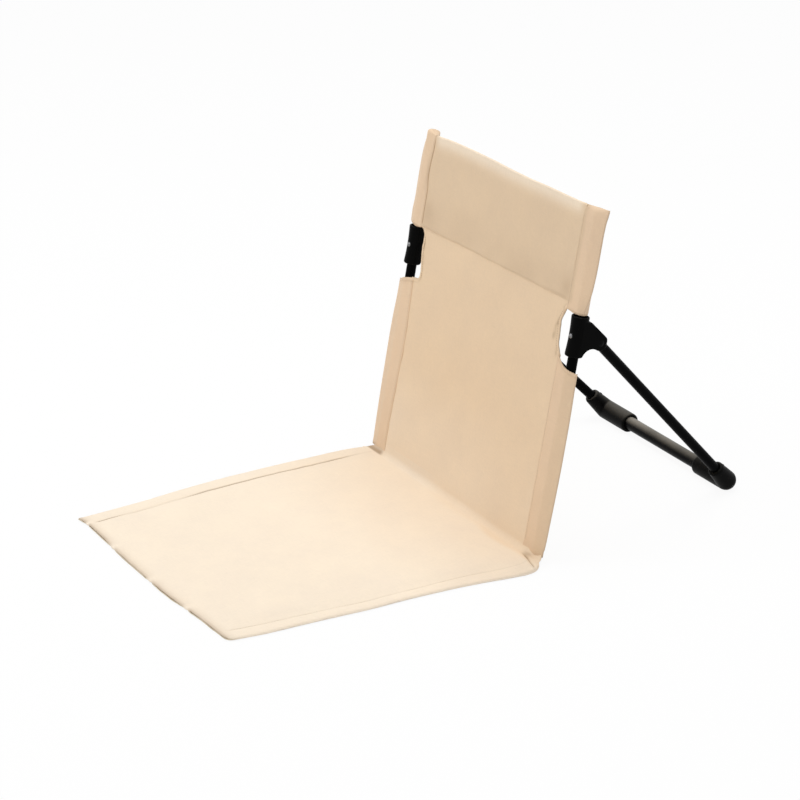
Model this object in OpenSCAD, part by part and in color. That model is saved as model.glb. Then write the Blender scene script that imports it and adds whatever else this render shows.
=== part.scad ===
// Folding floor chair: a cloth seat and back on two leaning poles, held up by a folding rear support.
// Left and right are those of the person who sits in it. X runs across, the person faces -Y, Z is up.
// Inside the file, y = 0 is where the pole axes meet the floor, and in_frame() moves that to the
// middle of the whole chair. The back has its own frame: x across, y behind the pole axes, z up the pole.

/* [Back frame] */
// Distance between the axes of the two poles
pole_spacing = 386; // [320:1:480]
// Outer diameter of the poles and the legs
tube_d = 13; // [11:0.5:15]
// Wall of every tube
tube_wall = 1; // [0.8:0.1:1.5]
// Where a pole's lower end stands, measured up the pole from the floor
pole_foot = 7.5; // [6:0.5:20]
// Where a pole's upper end is, measured up the pole from the floor
pole_top = 444; // [400:1:446]
// Lean of the poles from the vertical, in degrees
recline = 10.6; // [5:0.1:20]
// Thickness of the head of a pole's end cap
cap_head = 3; // [2:0.5:4]
// Length of an end cap inside the pole
cap_plug = 12; // [8:1:25]

/* [Hub] */
// Where a hub's lower end sits, measured up the pole from the floor
hub_bottom = 266; // [230:1:290]
// Length of a hub's barrel
hub_len = 52; // [46:1:70]
// Outer diameter of the barrel at its two ends
hub_d = 22.8; // [21:0.2:28]
// How much thinner the barrel's wall is at its waist
hub_waist = 1; // [0:0.1:1.5]
// Rounding of the barrel's end edges
hub_edge = 1.6; // [0.5:0.1:2.5]
// Diameter of the recess in the hub's top, which takes the end of the cloth sleeve
recess_d = 18.4; // [18:0.2:20]
// Depth of that recess
recess_depth = 6; // [3:0.5:10]
// Distance of the leg's pivot behind the pole axis
pivot_back = 30; // [28:0.5:45]
// Height of the pivot above the hub's lower end
pivot_up = 19.5; // [16:0.5:24]
// Radius of the two cheeks that hold the pivot pin
cheek_r = 10.2; // [10:0.1:14]
// How far below the hub's upper end the arm's sloping top starts
arm_drop = 6; // [2:0.5:10]
// Thickness of the hub's arm across both cheeks
arm_w = 22; // [21.5:0.5:28]
// Rounding of the arm's rear edges
arm_edge = 3; // [1:0.5:4]
// Reach of the hollow under the arm, behind the barrel
arm_hollow = 8; // [6:0.5:10]

/* [Rear support] */
// Distance between the two feet, at the leg axes
foot_spacing = 280; // [220:1:340]
// Distance of the feet behind the poles' lower ends
foot_reach = 329; // [280:1:400]
// Outer diameter of the bar that joins the feet
crossbar_d = 18; // [15:0.5:20]
// Length of leg tube past the pivot pin
leg_end = 6.5; // [5.5:0.1:7]
// Length of the plug in the leg's upper end
leg_plug = 15; // [12:1:25]

/* [Feet] */
// Outer diameter of a foot
foot_d = 27; // [24:0.5:32]
// Depth of the flat under a foot
foot_flat = 0.6; // [0.2:0.1:1]
// Length of the crossbar's socket from the leg axis
bar_socket = 60; // [40:1:80]
// Length of the leg's socket from the crossbar axis
leg_socket = 33; // [30:1:45]
// Outer diameter of the leg socket at its mouth
leg_mouth_d = 21; // [18.5:0.5:24]
// Chamfer round both mouths
mouth_edge = 1.6; // [0.5:0.1:2]
// Length of solid foot between the corner and each tube's end
socket_floor = 12; // [11:0.5:16]

/* [Fasteners] */
// Diameter of a pivot pin
pin_d = 5; // [4:0.5:6]
// Diameter of a pivot pin's heads
pin_head_d = 8.6; // [7:0.2:11]
// Height of a pivot pin's heads
pin_head = 1.2; // [0.8:0.1:2]
// Diameter of a hub rivet
hub_rivet_d = 4; // [3:0.5:5]
// Diameter of a hub rivet's head
hub_rivet_head_d = 6.4; // [5.6:0.2:8]
// Height of a hub rivet's head
hub_rivet_head = 1.5; // [1:0.1:2]
// How far a hub rivet goes in behind the pole axis
hub_rivet_in = 10; // [8:0.5:12]
// Diameter of a foot rivet
foot_rivet_d = 3.2; // [2.4:0.2:4]
// Diameter of a foot rivet's head
foot_rivet_head_d = 6; // [5:0.2:7]
// Height of a foot rivet's head
foot_rivet_head = 1.24; // [0.8:0.02:1.6]
// Length of a foot rivet inside the tube
foot_rivet_tail = 2.5; // [1:0.5:4]

/* [Back cloth] */
// Height of the back's top corners, measured up the pole from the floor
back_top = 450.5; // [449:0.5:520]
// Sag of the top edge in the middle
top_sag = 6; // [0:0.5:12]
// Distance of a sleeve's seam inside the pole axis
seam_in = 17; // [12:0.5:24]
// How far outside the pole axis a lower sleeve's edge lies
lower_sleeve_out = 17; // [12:0.5:50]
// How far outside the pole axis an upper sleeve's edge lies
upper_sleeve_out = 12; // [12:0.5:50]
// Thickness of the back's cloth
cloth = 1.2; // [0.8:0.1:1.6]
// Lower edge of the double band, measured up the pole from the floor
band_bottom = 326; // [322:1:380]
// Reach of the cut-out at a hub, inside the pole axis
notch_in = 28; // [25:1:60]
// Clearance from the hub's lower end down to the lower sleeve
notch_below = 19; // [8:1:30]
// Clearance from the hub's upper end up to the upper sleeve
notch_above = 3; // [1:0.5:5]
// Radius of the cut-out's inner corners
notch_r = 9; // [4:0.5:10]
// How far the upper sleeve's end is tucked into the hub
tuck = 6.5; // [4:0.5:7]
// Radius of the rounded outer edge of a sleeve
sleeve_edge = 2.4; // [1.5:0.1:3]
// How far in front of the pole axes the sleeves' outer edges lie
edge_ahead = 1; // [0:0.5:4]

/* [Seat] */
// Length of the seat from its rear edge to its front edge
seat_len = 425; // [340:1:480]
// Width of the seat at its rear edge
seat_rear_w = 428; // [424:1:520]
// Width of the seat at its front edge
seat_front_w = 398; // [340:1:424]
// Thickness of each ply of the seat's cover
seat_ply = 1; // [0.6:0.1:1.2]
// Thickness of the foam sheet inside the seat
pad_t = 3; // [2:0.5:6]
// Width of the seat's sewn hem
hem_w = 21; // [12:1:30]
// Radius of the seat's front corners
seat_corner = 12; // [4:1:25]
// Diameter of the seam roll that the seat folds about
crease_d = 2.8; // [2:0.2:3.6]

/* [Fits] */
// Radial clearance of a tube, pin or plug in its bore
fit = 0.05; // [0.03:0.01:0.1]
// Clearance between cloth and what it covers
cloth_gap = 0.3; // [0.2:0.05:0.5]
// Clearance of the leg in the hub's slot
slot_gap = 0.3; // [0.2:0.05:0.5]
// Clearance between the seat and the back cloth where they fold together
crease_gap = 0.5; // [0.4:0.05:0.8]

/* [Hidden] */
$fn = 64;

black_paint = [0.06, 0.06, 0.065];
black_plastic = [0.09, 0.09, 0.09];
bright_steel = [0.75, 0.75, 0.76];
cream_cloth = [0.93, 0.83, 0.69];
tan_cloth = [0.85, 0.74, 0.59];
foam_grey = [0.80, 0.80, 0.78];

// Overrun of every cut past the face that it opens
overrun = 1;
tube_r = tube_d / 2;
bore_r = tube_r - tube_wall;
pole_x = pole_spacing / 2;
bar_r = crossbar_d / 2;
foot_r = foot_d / 2;
hub_r = hub_d / 2;
hub_top = hub_bottom + hub_len;
hub_mid = hub_bottom + hub_len / 2;
waist_r = hub_r - hub_waist;

// Pivot of the leg, as [behind the pole axis, up the pole] and as [y, z]
pivot = [pivot_back, hub_bottom + pivot_up];
pivot_yz = from_back(pivot);
foot_x = foot_spacing / 2;
foot_z = foot_r - foot_flat;
pivot_at = [pole_x, pivot_yz.x, pivot_yz.y];
foot_at = [foot_x, foot_reach, foot_z];
leg_line = foot_at - pivot_at;
leg_len = norm(leg_line);
// Direction of the open leg seen from the side, as [behind, up the pole]
leg_side = to_back([leg_line.y, leg_line.z]);
leg_dir = leg_side / norm(leg_side);
leg_normal = [-leg_dir.y, leg_dir.x];
// Inward slant of a leg, in degrees
slant = asin((pole_x - foot_x) / leg_len);
slot_inside = tube_r / cos(slant) + cheek_r * tan(slant) + slot_gap;
slot_outside = tube_r / cos(slant) + leg_end * tan(slant) + slot_gap;
// Radius that the leg's upper end sweeps about the pivot, and the length of the slot cut past it
sweep_r = norm([leg_end, tube_r]) + slot_gap / 2;
slot_reach = 3 * cheek_r;

sleeve_bore = tube_r + cloth_gap;
sleeve_r = sleeve_bore + cloth;
seat_t = 2 * seat_ply + pad_t;
back_x = pole_x + lower_sleeve_out;
seam_x = pole_x - seam_in;
notch_x = pole_x - notch_in;
notch_low = hub_bottom - notch_below;
notch_high = hub_top + notch_above;
// Fold line of the seat: in front of the sleeves, half a seat's thickness above the floor
crease_n = -(sleeve_r + crease_gap + seat_t / 2);
crease_z = seat_t / 2;
crease_y = (crease_n + crease_z * sin(recline)) / cos(recline);
crease_up = to_back([crease_y, crease_z]).y;
crease_r = crease_d / 2;
seat_rear_y = crease_y - crease_r - crease_gap;
seat_front_y = seat_rear_y - seat_len;
seat_taper = atan((seat_rear_w - seat_front_w) / 2 / seat_len);

// Depth of the flat that a hub rivet's head sits on, in front of the pole axis
rivet_seat = sqrt(waist_r * waist_r - hub_rivet_head_d * hub_rivet_head_d / 4);
// Distance of a foot rivet from the foot's corner: half way up the socket past the tube's end
leg_rivet_at = (socket_floor + leg_socket) / 2;
bar_rivet_at = (socket_floor + bar_socket) / 2;
// Outer radius of the leg's socket at the thin end of its rivet's head
leg_rivet_r = foot_r - (foot_r - leg_mouth_d / 2) * (leg_rivet_at + foot_rivet_head_d / 2) / leg_socket;
// Depths of the flats that the two heads sit on, and the lengths of the two shafts
leg_rivet_seat = sqrt(leg_rivet_r * leg_rivet_r - foot_rivet_head_d * foot_rivet_head_d / 4);
bar_rivet_seat = sqrt(foot_r * foot_r - foot_rivet_head_d * foot_rivet_head_d / 4);
leg_rivet_len = leg_rivet_seat - bore_r + foot_rivet_tail;
bar_rivet_len = bar_rivet_seat - bar_r + tube_wall + foot_rivet_tail;
// Middle of the open chair, from the front of the seat to the rivets behind the crossbar
middle_y = (foot_reach + bar_rivet_seat + foot_rivet_head + seat_front_y) / 2;

// Steps along a curve that is drawn with straight stretches
curve_steps = 10;
// The back's top edge as [x, up the pole], from the right seam to the left one
top_line = [for (i = [-curve_steps:curve_steps])
    [seam_x * i / curve_steps, back_top - top_sag * (1 - i * i / curve_steps / curve_steps)]];

// [behind the pole axis, up the pole] to [y, z], and back again
function from_back(p) = [p.x * cos(recline) + p.y * sin(recline), p.y * cos(recline) - p.x * sin(recline)];
function to_back(p) = [p.x * cos(recline) - p.y * sin(recline), p.x * sin(recline) + p.y * cos(recline)];
function polar(r, a) = r * [cos(a), sin(a)];
function arc(centre, r, a0, a1) =
    [for (i = [0:curve_steps]) centre + polar(r, a0 + (a1 - a0) * i / curve_steps)];
// Angle of the outer tangent from circle a to circle b, on the side that side = 1 or -1 picks
function tangent_angle(a, ra, b, rb, side) =
    atan2(b.y - a.y, b.x - a.x) + side * acos((ra - rb) / norm(b - a));
// Radius of the hub's barrel at a share of its length
function barrel_r(share) = hub_r - hub_waist * sin(180 * share);
// Radius of the ball whose cap has a given width and height
function dome_r(width, height) = (width * width / 4 + height * height) / (2 * height);

module in_frame() {
    translate([0, -middle_y, 0]) children();
}

module on_back() {
    in_frame() rotate([-recline, 0, 0]) children();
}

// Left is +X. The right side is the left side's mirror image.
module on_side(left) {
    mirror([left ? 0 : 1, 0, 0]) children();
}

// Turns +Z to a direction
module along(direction) {
    rotate([0, acos(direction.z / norm(direction)), atan2(direction.y, direction.x)]) children();
}

// Turns a profile drawn as [behind the pole axis, up the pole] to stand across X, between two places
module across(x0, x1) {
    translate([x0, 0, 0]) rotate([90, 0, 90]) linear_extrude(x1 - x0) children();
}

// Turns a profile drawn as [x, up the pole] to stand between two depths behind the pole axis
module through(n0, n1) {
    translate([0, n1, 0]) rotate([90, 0, 0]) linear_extrude(n1 - n0) children();
}

module tube(r, length) {
    difference() {
        cylinder(h = length, r = r);
        translate([0, 0, -overrun]) cylinder(h = length + 2 * overrun, r = r - tube_wall);
    }
}

// Rivet along +Z with its head's underside at z = 0: the shaft goes down, the head is a low dome
module rivet(shaft_d, shaft, head_d, head) {
    translate([0, 0, -shaft]) cylinder(h = shaft + head / 2, d = shaft_d);
    rotate_extrude() intersection() {
        translate([0, head - dome_r(head_d, head)]) circle(r = dome_r(head_d, head));
        square([head_d, head]);
    }
}

module pole(left) {
    color(black_paint) on_back() on_side(left) difference() {
        translate([pole_x, 0, pole_foot]) tube(tube_r, pole_top - pole_foot);
        translate([pole_x, 0, hub_mid]) rotate([90, 0, 0])
            cylinder(h = 4 * tube_r, d = hub_rivet_d + 2 * fit, center = true);
    }
}

// End cap with its plug along +Z and its head below z = 0
module cap() {
    cylinder(h = cap_plug, r = bore_r - fit);
    translate([0, 0, -cap_head]) rotate_extrude() polygon(concat(
        [[0, 0], [0, cap_head], [tube_r, cap_head]],
        [for (i = [0:curve_steps])
            [tube_r - cap_head / 2, cap_head / 2] + polar(cap_head / 2, -90 * i / curve_steps)]
    ));
}

module pole_top_cap(left) {
    color(black_plastic) on_back() on_side(left) translate([pole_x, 0, pole_top]) mirror([0, 0, 1]) cap();
}

module pole_foot_cap(left) {
    color(black_plastic) on_back() on_side(left) translate([pole_x, 0, pole_foot]) cap();
}

// Outline of the barrel as [radius, up from the hub's lower end]
module barrel_profile() {
    polygon(concat(
        [[0, 0]],
        arc([hub_r - hub_edge, hub_edge], hub_edge, -90, 0),
        [for (i = [1:curve_steps - 1])
            [barrel_r(i / curve_steps), hub_edge + (hub_len - 2 * hub_edge) * i / curve_steps]],
        arc([hub_r - hub_edge, hub_len - hub_edge], hub_edge, 0, 90),
        [[0, hub_len]]
    ));
}

// Side outline of the arm as [behind the pole axis, up the pole]
module arm_profile() {
    shoulder = [hub_r, hub_top - arm_drop];
    top_angle = tangent_angle(pivot, cheek_r, shoulder, 0, -1);
    // The hollow under the arm touches the cheek and starts at the barrel's lower edge
    low_start = [hub_r, hub_bottom + hub_edge];
    low_centre = low_start + [arm_hollow, -arm_hollow / 2];
    low_angle = atan2(low_centre.y - pivot.y, low_centre.x - pivot.x);
    difference() {
        union() {
            translate(pivot) circle(r = cheek_r);
            polygon([
                [0, shoulder.y],
                shoulder,
                pivot + polar(cheek_r, top_angle),
                pivot,
                pivot + polar(cheek_r, low_angle),
                low_centre,
                low_start,
                [0, low_start.y]
            ]);
        }
        translate(low_centre) circle(r = norm(low_centre - pivot) - cheek_r);
        translate([hub_r, low_start.y - slot_reach]) square([slot_reach, slot_reach]);
    }
}

// Plan of the arm as [x from the pole axis, behind the pole axis], with rounded rear edges
module arm_plan() {
    rear = pivot_back + cheek_r;
    half = arm_w / 2;
    polygon(concat(
        [[-half, 0]],
        [[half, 0]],
        arc([half - arm_edge, rear - arm_edge], arm_edge, 0, 90),
        arc([arm_edge - half, rear - arm_edge], arm_edge, 90, 180)
    ));
}

// Space that the leg needs between the cheeks, seen from the side, from open to folded
module leg_sweep() {
    clear = tube_r + slot_gap;
    roof = pivot + clear * leg_normal;
    translate(pivot) circle(r = sweep_r);
    polygon([
        roof,
        roof + slot_reach * leg_dir,
        pivot + [slot_reach, -slot_reach],
        pivot + [-clear, -slot_reach],
        pivot + [-clear, 0]
    ]);
}

module hub(left) {
    color(black_plastic) on_back() on_side(left) translate([pole_x, 0, 0]) difference() {
        union() {
            translate([0, 0, hub_bottom]) rotate_extrude() barrel_profile();
            intersection() {
                across(-arm_w / 2, arm_w / 2) arm_profile();
                translate([0, 0, hub_bottom - cheek_r]) linear_extrude(2 * hub_len) arm_plan();
            }
        }
        translate([0, 0, hub_bottom - cheek_r]) cylinder(h = 2 * hub_len, r = tube_r + fit);
        translate([0, 0, hub_top - recess_depth]) cylinder(h = hub_len, d = recess_d);
        across(-slot_inside, slot_outside) leg_sweep();
        translate([0, pivot.x, pivot.y]) rotate([0, 90, 0])
            cylinder(h = 2 * arm_w, d = pin_d + 2 * fit, center = true);
        translate([0, hub_rivet_in + fit, hub_mid]) rotate([90, 0, 0])
            cylinder(h = hub_rivet_in + hub_d, d = hub_rivet_d + 2 * fit);
        translate([0, -rivet_seat, hub_mid]) rotate([90, 0, 0])
            cylinder(h = hub_d, d = hub_rivet_head_d + 2 * slot_gap);
    }
}

module hub_rivets() {
    color(bright_steel) on_back() for (left = [true, false]) on_side(left)
        translate([pole_x, -rivet_seat, hub_mid]) rotate([90, 0, 0])
            rivet(hub_rivet_d, rivet_seat + hub_rivet_in, hub_rivet_head_d, hub_rivet_head);
}

// Pin across both cheeks, with a low head on each side
module pivot_pins() {
    color(black_paint) on_back() for (left = [true, false]) on_side(left)
        translate([pole_x, pivot.x, pivot.y]) rotate([0, 90, 0]) {
            translate([0, 0, arm_w / 2]) rivet(pin_d, arm_w / 2, pin_head_d, pin_head);
            mirror([0, 0, 1]) translate([0, 0, arm_w / 2]) rivet(pin_d, arm_w / 2, pin_head_d, pin_head);
        }
}

// Bore along X for the pivot pin
module pin_bore() {
    translate(pivot_at) rotate([0, 90, 0]) cylinder(h = arm_w, d = pin_d + 2 * fit, center = true);
}

// Place of the rivet on the rear of the leg's socket, with +Z pointing out of it
module at_leg_rivet() {
    translate(foot_at) along(-leg_line) translate([0, 0, leg_rivet_at]) rotate([0, -90, 0])
        translate([0, 0, leg_rivet_seat]) children();
}

// The same on the rear of the crossbar's socket
module at_bar_rivet() {
    translate(foot_at + [-bar_rivet_at, bar_rivet_seat, 0]) rotate([-90, 0, 0]) children();
}

module foot_rivet_holes() {
    at_leg_rivet() rivet_hole(leg_rivet_len);
    at_bar_rivet() rivet_hole(bar_rivet_len);
}

module rivet_hole(depth) {
    translate([0, 0, -depth - fit]) cylinder(h = depth + fit + overrun, d = foot_rivet_d + 2 * fit);
}

// Flats in a foot for the heads of its two rivets
module foot_rivet_seats() {
    at_leg_rivet() cylinder(h = foot_r, d = foot_rivet_head_d + 2 * slot_gap);
    at_bar_rivet() cylinder(h = foot_r, d = foot_rivet_head_d + 2 * slot_gap);
}

module leg(left) {
    color(black_paint) in_frame() on_side(left) difference() {
        translate(pivot_at) along(leg_line) translate([0, 0, -leg_end])
            tube(tube_r, leg_len + leg_end - socket_floor - fit);
        pin_bore();
        foot_rivet_holes();
    }
}

module leg_end_plug(left) {
    color(black_plastic) in_frame() on_side(left) difference() {
        translate(pivot_at) along(leg_line) translate([0, 0, -leg_end])
            cylinder(h = leg_plug, r = bore_r - fit);
        pin_bore();
    }
}

// Socket wall along +Z from the foot's corner, with a chamfered mouth
module socket_wall(base_r, mouth_r, length) {
    slope = (base_r - mouth_r) / length;
    rotate_extrude() polygon([
        [0, 0],
        [base_r, 0],
        [mouth_r + slope * mouth_edge, length - mouth_edge],
        [mouth_r - mouth_edge, length],
        [0, length]
    ]);
}

module foot(left) {
    color(black_plastic) in_frame() on_side(left) difference() {
        translate(foot_at) difference() {
            union() {
                sphere(r = foot_r);
                rotate([0, -90, 0]) socket_wall(foot_r, foot_r, bar_socket);
                along(-leg_line) socket_wall(foot_r, leg_mouth_d / 2, leg_socket);
            }
            rotate([0, -90, 0]) translate([0, 0, socket_floor]) cylinder(h = bar_socket, r = bar_r + fit);
            along(-leg_line) translate([0, 0, socket_floor]) cylinder(h = leg_socket, r = tube_r + fit);
        }
        translate(foot_at - [bar_socket + overrun, foot_r, 2 * foot_z])
            cube([bar_socket + 2 * foot_r, foot_d, foot_z]);
        foot_rivet_holes();
        foot_rivet_seats();
    }
}

module crossbar() {
    color(black_paint) in_frame() difference() {
        translate([socket_floor + fit - foot_x, foot_reach, foot_z]) rotate([0, 90, 0])
            tube(bar_r, foot_spacing - 2 * socket_floor - 2 * fit);
        on_side(true) foot_rivet_holes();
        on_side(false) foot_rivet_holes();
    }
}

module foot_rivets() {
    color(black_paint) in_frame() for (left = [true, false]) on_side(left) {
        at_leg_rivet() rivet(foot_rivet_d, leg_rivet_len, foot_rivet_head_d, foot_rivet_head);
        at_bar_rivet() rivet(foot_rivet_d, bar_rivet_len, foot_rivet_head_d, foot_rivet_head);
    }
}

// Cut-out on the left, as [x, up the pole], with rounded inner corners
module notch_profile() {
    outside = back_x + overrun;
    polygon(concat(
        [[outside, notch_low]],
        arc([notch_x + notch_r, notch_low + notch_r], notch_r, 270, 180),
        arc([notch_x + notch_r, notch_high - notch_r], notch_r, 180, 90),
        [[outside, notch_high]]
    ));
}

module back_panel() {
    bottom = crease_up - cloth / 2;
    color(cream_cloth) on_back() difference() {
        through(-sleeve_r, -sleeve_bore) polygon(concat([[seam_x, bottom], [-seam_x, bottom]], top_line));
        through(-2 * sleeve_r, 0) notch_profile();
        through(-2 * sleeve_r, 0) mirror([1, 0]) notch_profile();
    }
}

// Second ply behind the panel's upper part
module top_band() {
    side = seam_x - cloth_gap;
    color(tan_cloth) on_back() intersection() {
        through(-sleeve_bore, cloth - sleeve_bore) polygon(concat(
            [[seam_x, band_bottom], [-seam_x, band_bottom]], top_line));
        through(-sleeve_r, 0) translate([-side, 0]) square([2 * side, 2 * back_top]);
    }
}

// Cloth sleeve round a pole as [x from the pole axis, behind the pole axis]: flat in front of the
// pole, drawn out to a rounded outer edge, and back round the pole to its seam
module sleeve_profile(out) {
    pole_axis = [0, 0];
    edge = [out - sleeve_edge, -edge_ahead];
    seam = [seam_x - pole_x, -sleeve_bore];
    front_angle = tangent_angle(pole_axis, sleeve_r, edge, sleeve_edge, -1);
    rear_angle = tangent_angle(pole_axis, sleeve_r, edge, sleeve_edge, 1);
    seam_angle = tangent_angle(pole_axis, sleeve_r, seam, 0, -1);
    circle(r = sleeve_r);
    translate(edge) circle(r = sleeve_edge);
    polygon([
        [seam.x, -sleeve_r],
        [0, -sleeve_r],
        polar(sleeve_r, front_angle),
        edge + polar(sleeve_edge, front_angle),
        edge + polar(sleeve_edge, rear_angle),
        polar(sleeve_r, rear_angle),
        polar(sleeve_r, seam_angle),
        seam
    ]);
}

module upper_sleeve(left) {
    color(tan_cloth) on_back() on_side(left) translate([pole_x, 0, 0]) difference() {
        union() {
            translate([0, 0, notch_high]) linear_extrude(back_top - notch_high)
                sleeve_profile(upper_sleeve_out);
            translate([0, 0, notch_high - tuck]) cylinder(h = 2 * tuck, r = sleeve_r);
        }
        translate([0, 0, notch_high - 2 * tuck])
            cylinder(h = pole_top + cap_head + cloth_gap - notch_high + 2 * tuck, r = sleeve_bore);
    }
}

module lower_sleeve(left) {
    below = 2 * sleeve_r;
    color(tan_cloth) in_frame() difference() {
        rotate([-recline, 0, 0]) on_side(left) translate([pole_x, 0, 0]) difference() {
            translate([0, 0, -below]) linear_extrude(notch_low + below) sleeve_profile(lower_sleeve_out);
            translate([0, 0, pole_foot - cap_head - cloth_gap]) cylinder(h = notch_low, r = sleeve_bore);
        }
        translate([-2 * back_x, -below, -2 * below]) cube([4 * back_x, 2 * below, 2 * below]);
    }
}

// Seam roll at the fold line, and the strip that joins it to the back panel's front
module crease_strip() {
    color(cream_cloth) on_back() {
        translate([-back_x, crease_n, crease_up]) rotate([0, 90, 0])
            cylinder(h = 2 * back_x, r = crease_r);
        translate([-seam_x, crease_n, crease_up - cloth / 2]) cube([2 * seam_x, -sleeve_r - crease_n, cloth]);
    }
}

// Outline of the seat, drawn in by an amount on every side, with rounded front corners
module seat_outline(inset, corner) {
    rear = seat_rear_w / 2 - inset;
    front = seat_front_w / 2 - inset;
    far = seat_front_y + inset;
    centre = [front - corner * (1 - sin(seat_taper)) / cos(seat_taper), far + corner];
    polygon(concat(
        [[-rear, seat_rear_y - inset], [rear, seat_rear_y - inset]],
        arc(centre, corner, -seat_taper, -90),
        arc([-centre.x, centre.y], corner, -90, seat_taper - 180)
    ));
}

module seat_top_cover() {
    color(cream_cloth) in_frame() difference() {
        translate([0, 0, seat_ply]) linear_extrude(seat_t - seat_ply) seat_outline(0, seat_corner);
        translate([0, 0, seat_ply - overrun]) linear_extrude(pad_t + overrun)
            seat_outline(hem_w - cloth_gap, seat_corner);
    }
}

module seat_pad() {
    color(foam_grey) in_frame() translate([0, 0, seat_ply]) linear_extrude(pad_t)
        seat_outline(hem_w, seat_corner);
}

module seat_bottom_cover() {
    color(cream_cloth) in_frame() linear_extrude(seat_ply) seat_outline(0, seat_corner);
}

module left_pole() { pole(true); }
module right_pole() { pole(false); }
module left_pole_top_cap() { pole_top_cap(true); }
module right_pole_top_cap() { pole_top_cap(false); }
module left_pole_foot_cap() { pole_foot_cap(true); }
module right_pole_foot_cap() { pole_foot_cap(false); }
module left_hub() { hub(true); }
module right_hub() { hub(false); }
module left_leg() { leg(true); }
module right_leg() { leg(false); }
module left_leg_plug() { leg_end_plug(true); }
module right_leg_plug() { leg_end_plug(false); }
module left_foot() { foot(true); }
module right_foot() { foot(false); }
module left_upper_sleeve() { upper_sleeve(true); }
module right_upper_sleeve() { upper_sleeve(false); }
module left_lower_sleeve() { lower_sleeve(true); }
module right_lower_sleeve() { lower_sleeve(false); }

left_pole();
right_pole();
left_pole_top_cap();
right_pole_top_cap();
left_pole_foot_cap();
right_pole_foot_cap();
left_hub();
right_hub();
hub_rivets();
pivot_pins();
left_leg();
right_leg();
left_leg_plug();
right_leg_plug();
left_foot();
right_foot();
crossbar();
foot_rivets();
back_panel();
top_band();
left_upper_sleeve();
right_upper_sleeve();
left_lower_sleeve();
right_lower_sleeve();
crease_strip();
seat_top_cover();
seat_pad();
seat_bottom_cover();
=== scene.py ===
"""Looks of the folding floor chair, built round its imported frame.
"""
import math

import bpy
import numpy as np
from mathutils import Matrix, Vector


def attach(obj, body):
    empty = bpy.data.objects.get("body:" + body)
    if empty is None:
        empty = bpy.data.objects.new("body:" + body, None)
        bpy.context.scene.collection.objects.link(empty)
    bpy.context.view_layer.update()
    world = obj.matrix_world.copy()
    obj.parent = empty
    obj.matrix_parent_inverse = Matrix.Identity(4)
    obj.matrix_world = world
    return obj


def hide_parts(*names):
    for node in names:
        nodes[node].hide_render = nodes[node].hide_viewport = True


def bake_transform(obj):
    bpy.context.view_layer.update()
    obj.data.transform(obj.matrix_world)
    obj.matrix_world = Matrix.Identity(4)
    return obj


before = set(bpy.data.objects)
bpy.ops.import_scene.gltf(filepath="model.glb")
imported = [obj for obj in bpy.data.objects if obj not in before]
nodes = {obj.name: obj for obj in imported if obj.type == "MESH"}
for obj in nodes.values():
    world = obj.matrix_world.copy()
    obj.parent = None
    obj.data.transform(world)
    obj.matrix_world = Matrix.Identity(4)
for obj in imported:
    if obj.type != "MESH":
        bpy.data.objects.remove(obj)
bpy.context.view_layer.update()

MM = 0.001
# Lean of the poles, and y of the place where their axes meet the floor
LEAN = math.radians(10.6)
CL, SL = math.cos(LEAN), math.sin(LEAN)
MIDDLE = 47.1116
# Pole axes, and the seams between the back's panel and its sleeves, across
POLE_X, SEAM_X = 193.0, 176.0
# Front of the panel from the pole axes, top of the seat's rear end, and radius of the turn between them
PANEL_N, SEAT_TOP, FILLET = -8.0, 5.0, 11.0
# Front edge of the seat, counted from MIDDLE
FRONT_Y = -438.0
# Heights up the poles: the back's top and its band's lower edge, before they are drawn to their lines
TOP_S, BAND_S = 448.6, 327.2


# Numbers

def stacked(*parts):
    """Numbers or arrays side by side in a last axis."""
    return np.stack(np.broadcast_arrays(*parts), axis=-1)


def from_back(x, n, s):
    """Back frame (across, behind the pole axes, up the poles) to the row frame, in mm."""
    return stacked(x, n * CL + s * SL + MIDDLE, s * CL - n * SL)


def level_row(x, y, z):
    """Row of points of the seat, whose y counts from MIDDLE."""
    return stacked(x, y + MIDDLE, z)


def smooth(x, a, b):
    """Smooth step from 0 at a to 1 at b."""
    t = np.clip((np.asarray(x, float) - a) / (b - a), 0, 1)
    return t * t * (3 - 2 * t)


def bell(x, wide):
    """1 where x is 0, falling off to both sides over about wide."""
    return np.exp(-(x / wide) ** 2)


def ripple(u, v, seed, size=40.0, octaves=3):
    """Smooth noise from about -1 to 1 over mm coordinates, the same on every run."""
    u, v = np.broadcast_arrays(np.asarray(u, float), np.asarray(v, float))
    total, weight = np.zeros(u.shape), 0.0
    for octave in range(octaves):
        rng = np.random.default_rng(seed * 17 + octave)
        table = rng.uniform(-1, 1, (64, 64))
        p, q = u * 2 ** octave / size + 31.7, v * 2 ** octave / size + 17.3
        i, j = np.floor(p).astype(int), np.floor(q).astype(int)
        a, b = p - i, q - j
        a, b = a * a * (3 - 2 * a), b * b * (3 - 2 * b)
        low = table[i % 64, j % 64] * (1 - a) + table[(i + 1) % 64, j % 64] * a
        high = table[i % 64, (j + 1) % 64] * (1 - a) + table[(i + 1) % 64, (j + 1) % 64] * a
        total += (low * (1 - b) + high * b) * 0.5 ** octave
        weight += 0.5 ** octave
    return total / weight


def curve(at, *pairs):
    """Smooth curve through (place, value) pairs."""
    xs, ys = np.array(pairs, float).T
    at = np.clip(np.asarray(at, float), xs[0], xs[-1])
    k = np.clip(np.searchsorted(xs, at) - 1, 0, len(xs) - 2)
    slope = np.gradient(ys, xs)
    h = xs[k + 1] - xs[k]
    t = (at - xs[k]) / h
    return (ys[k] * (2 * t ** 3 - 3 * t ** 2 + 1) + slope[k] * h * (t ** 3 - 2 * t ** 2 + t)
            + ys[k + 1] * (3 * t ** 2 - 2 * t ** 3) + slope[k + 1] * h * (t ** 3 - t ** 2))


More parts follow.
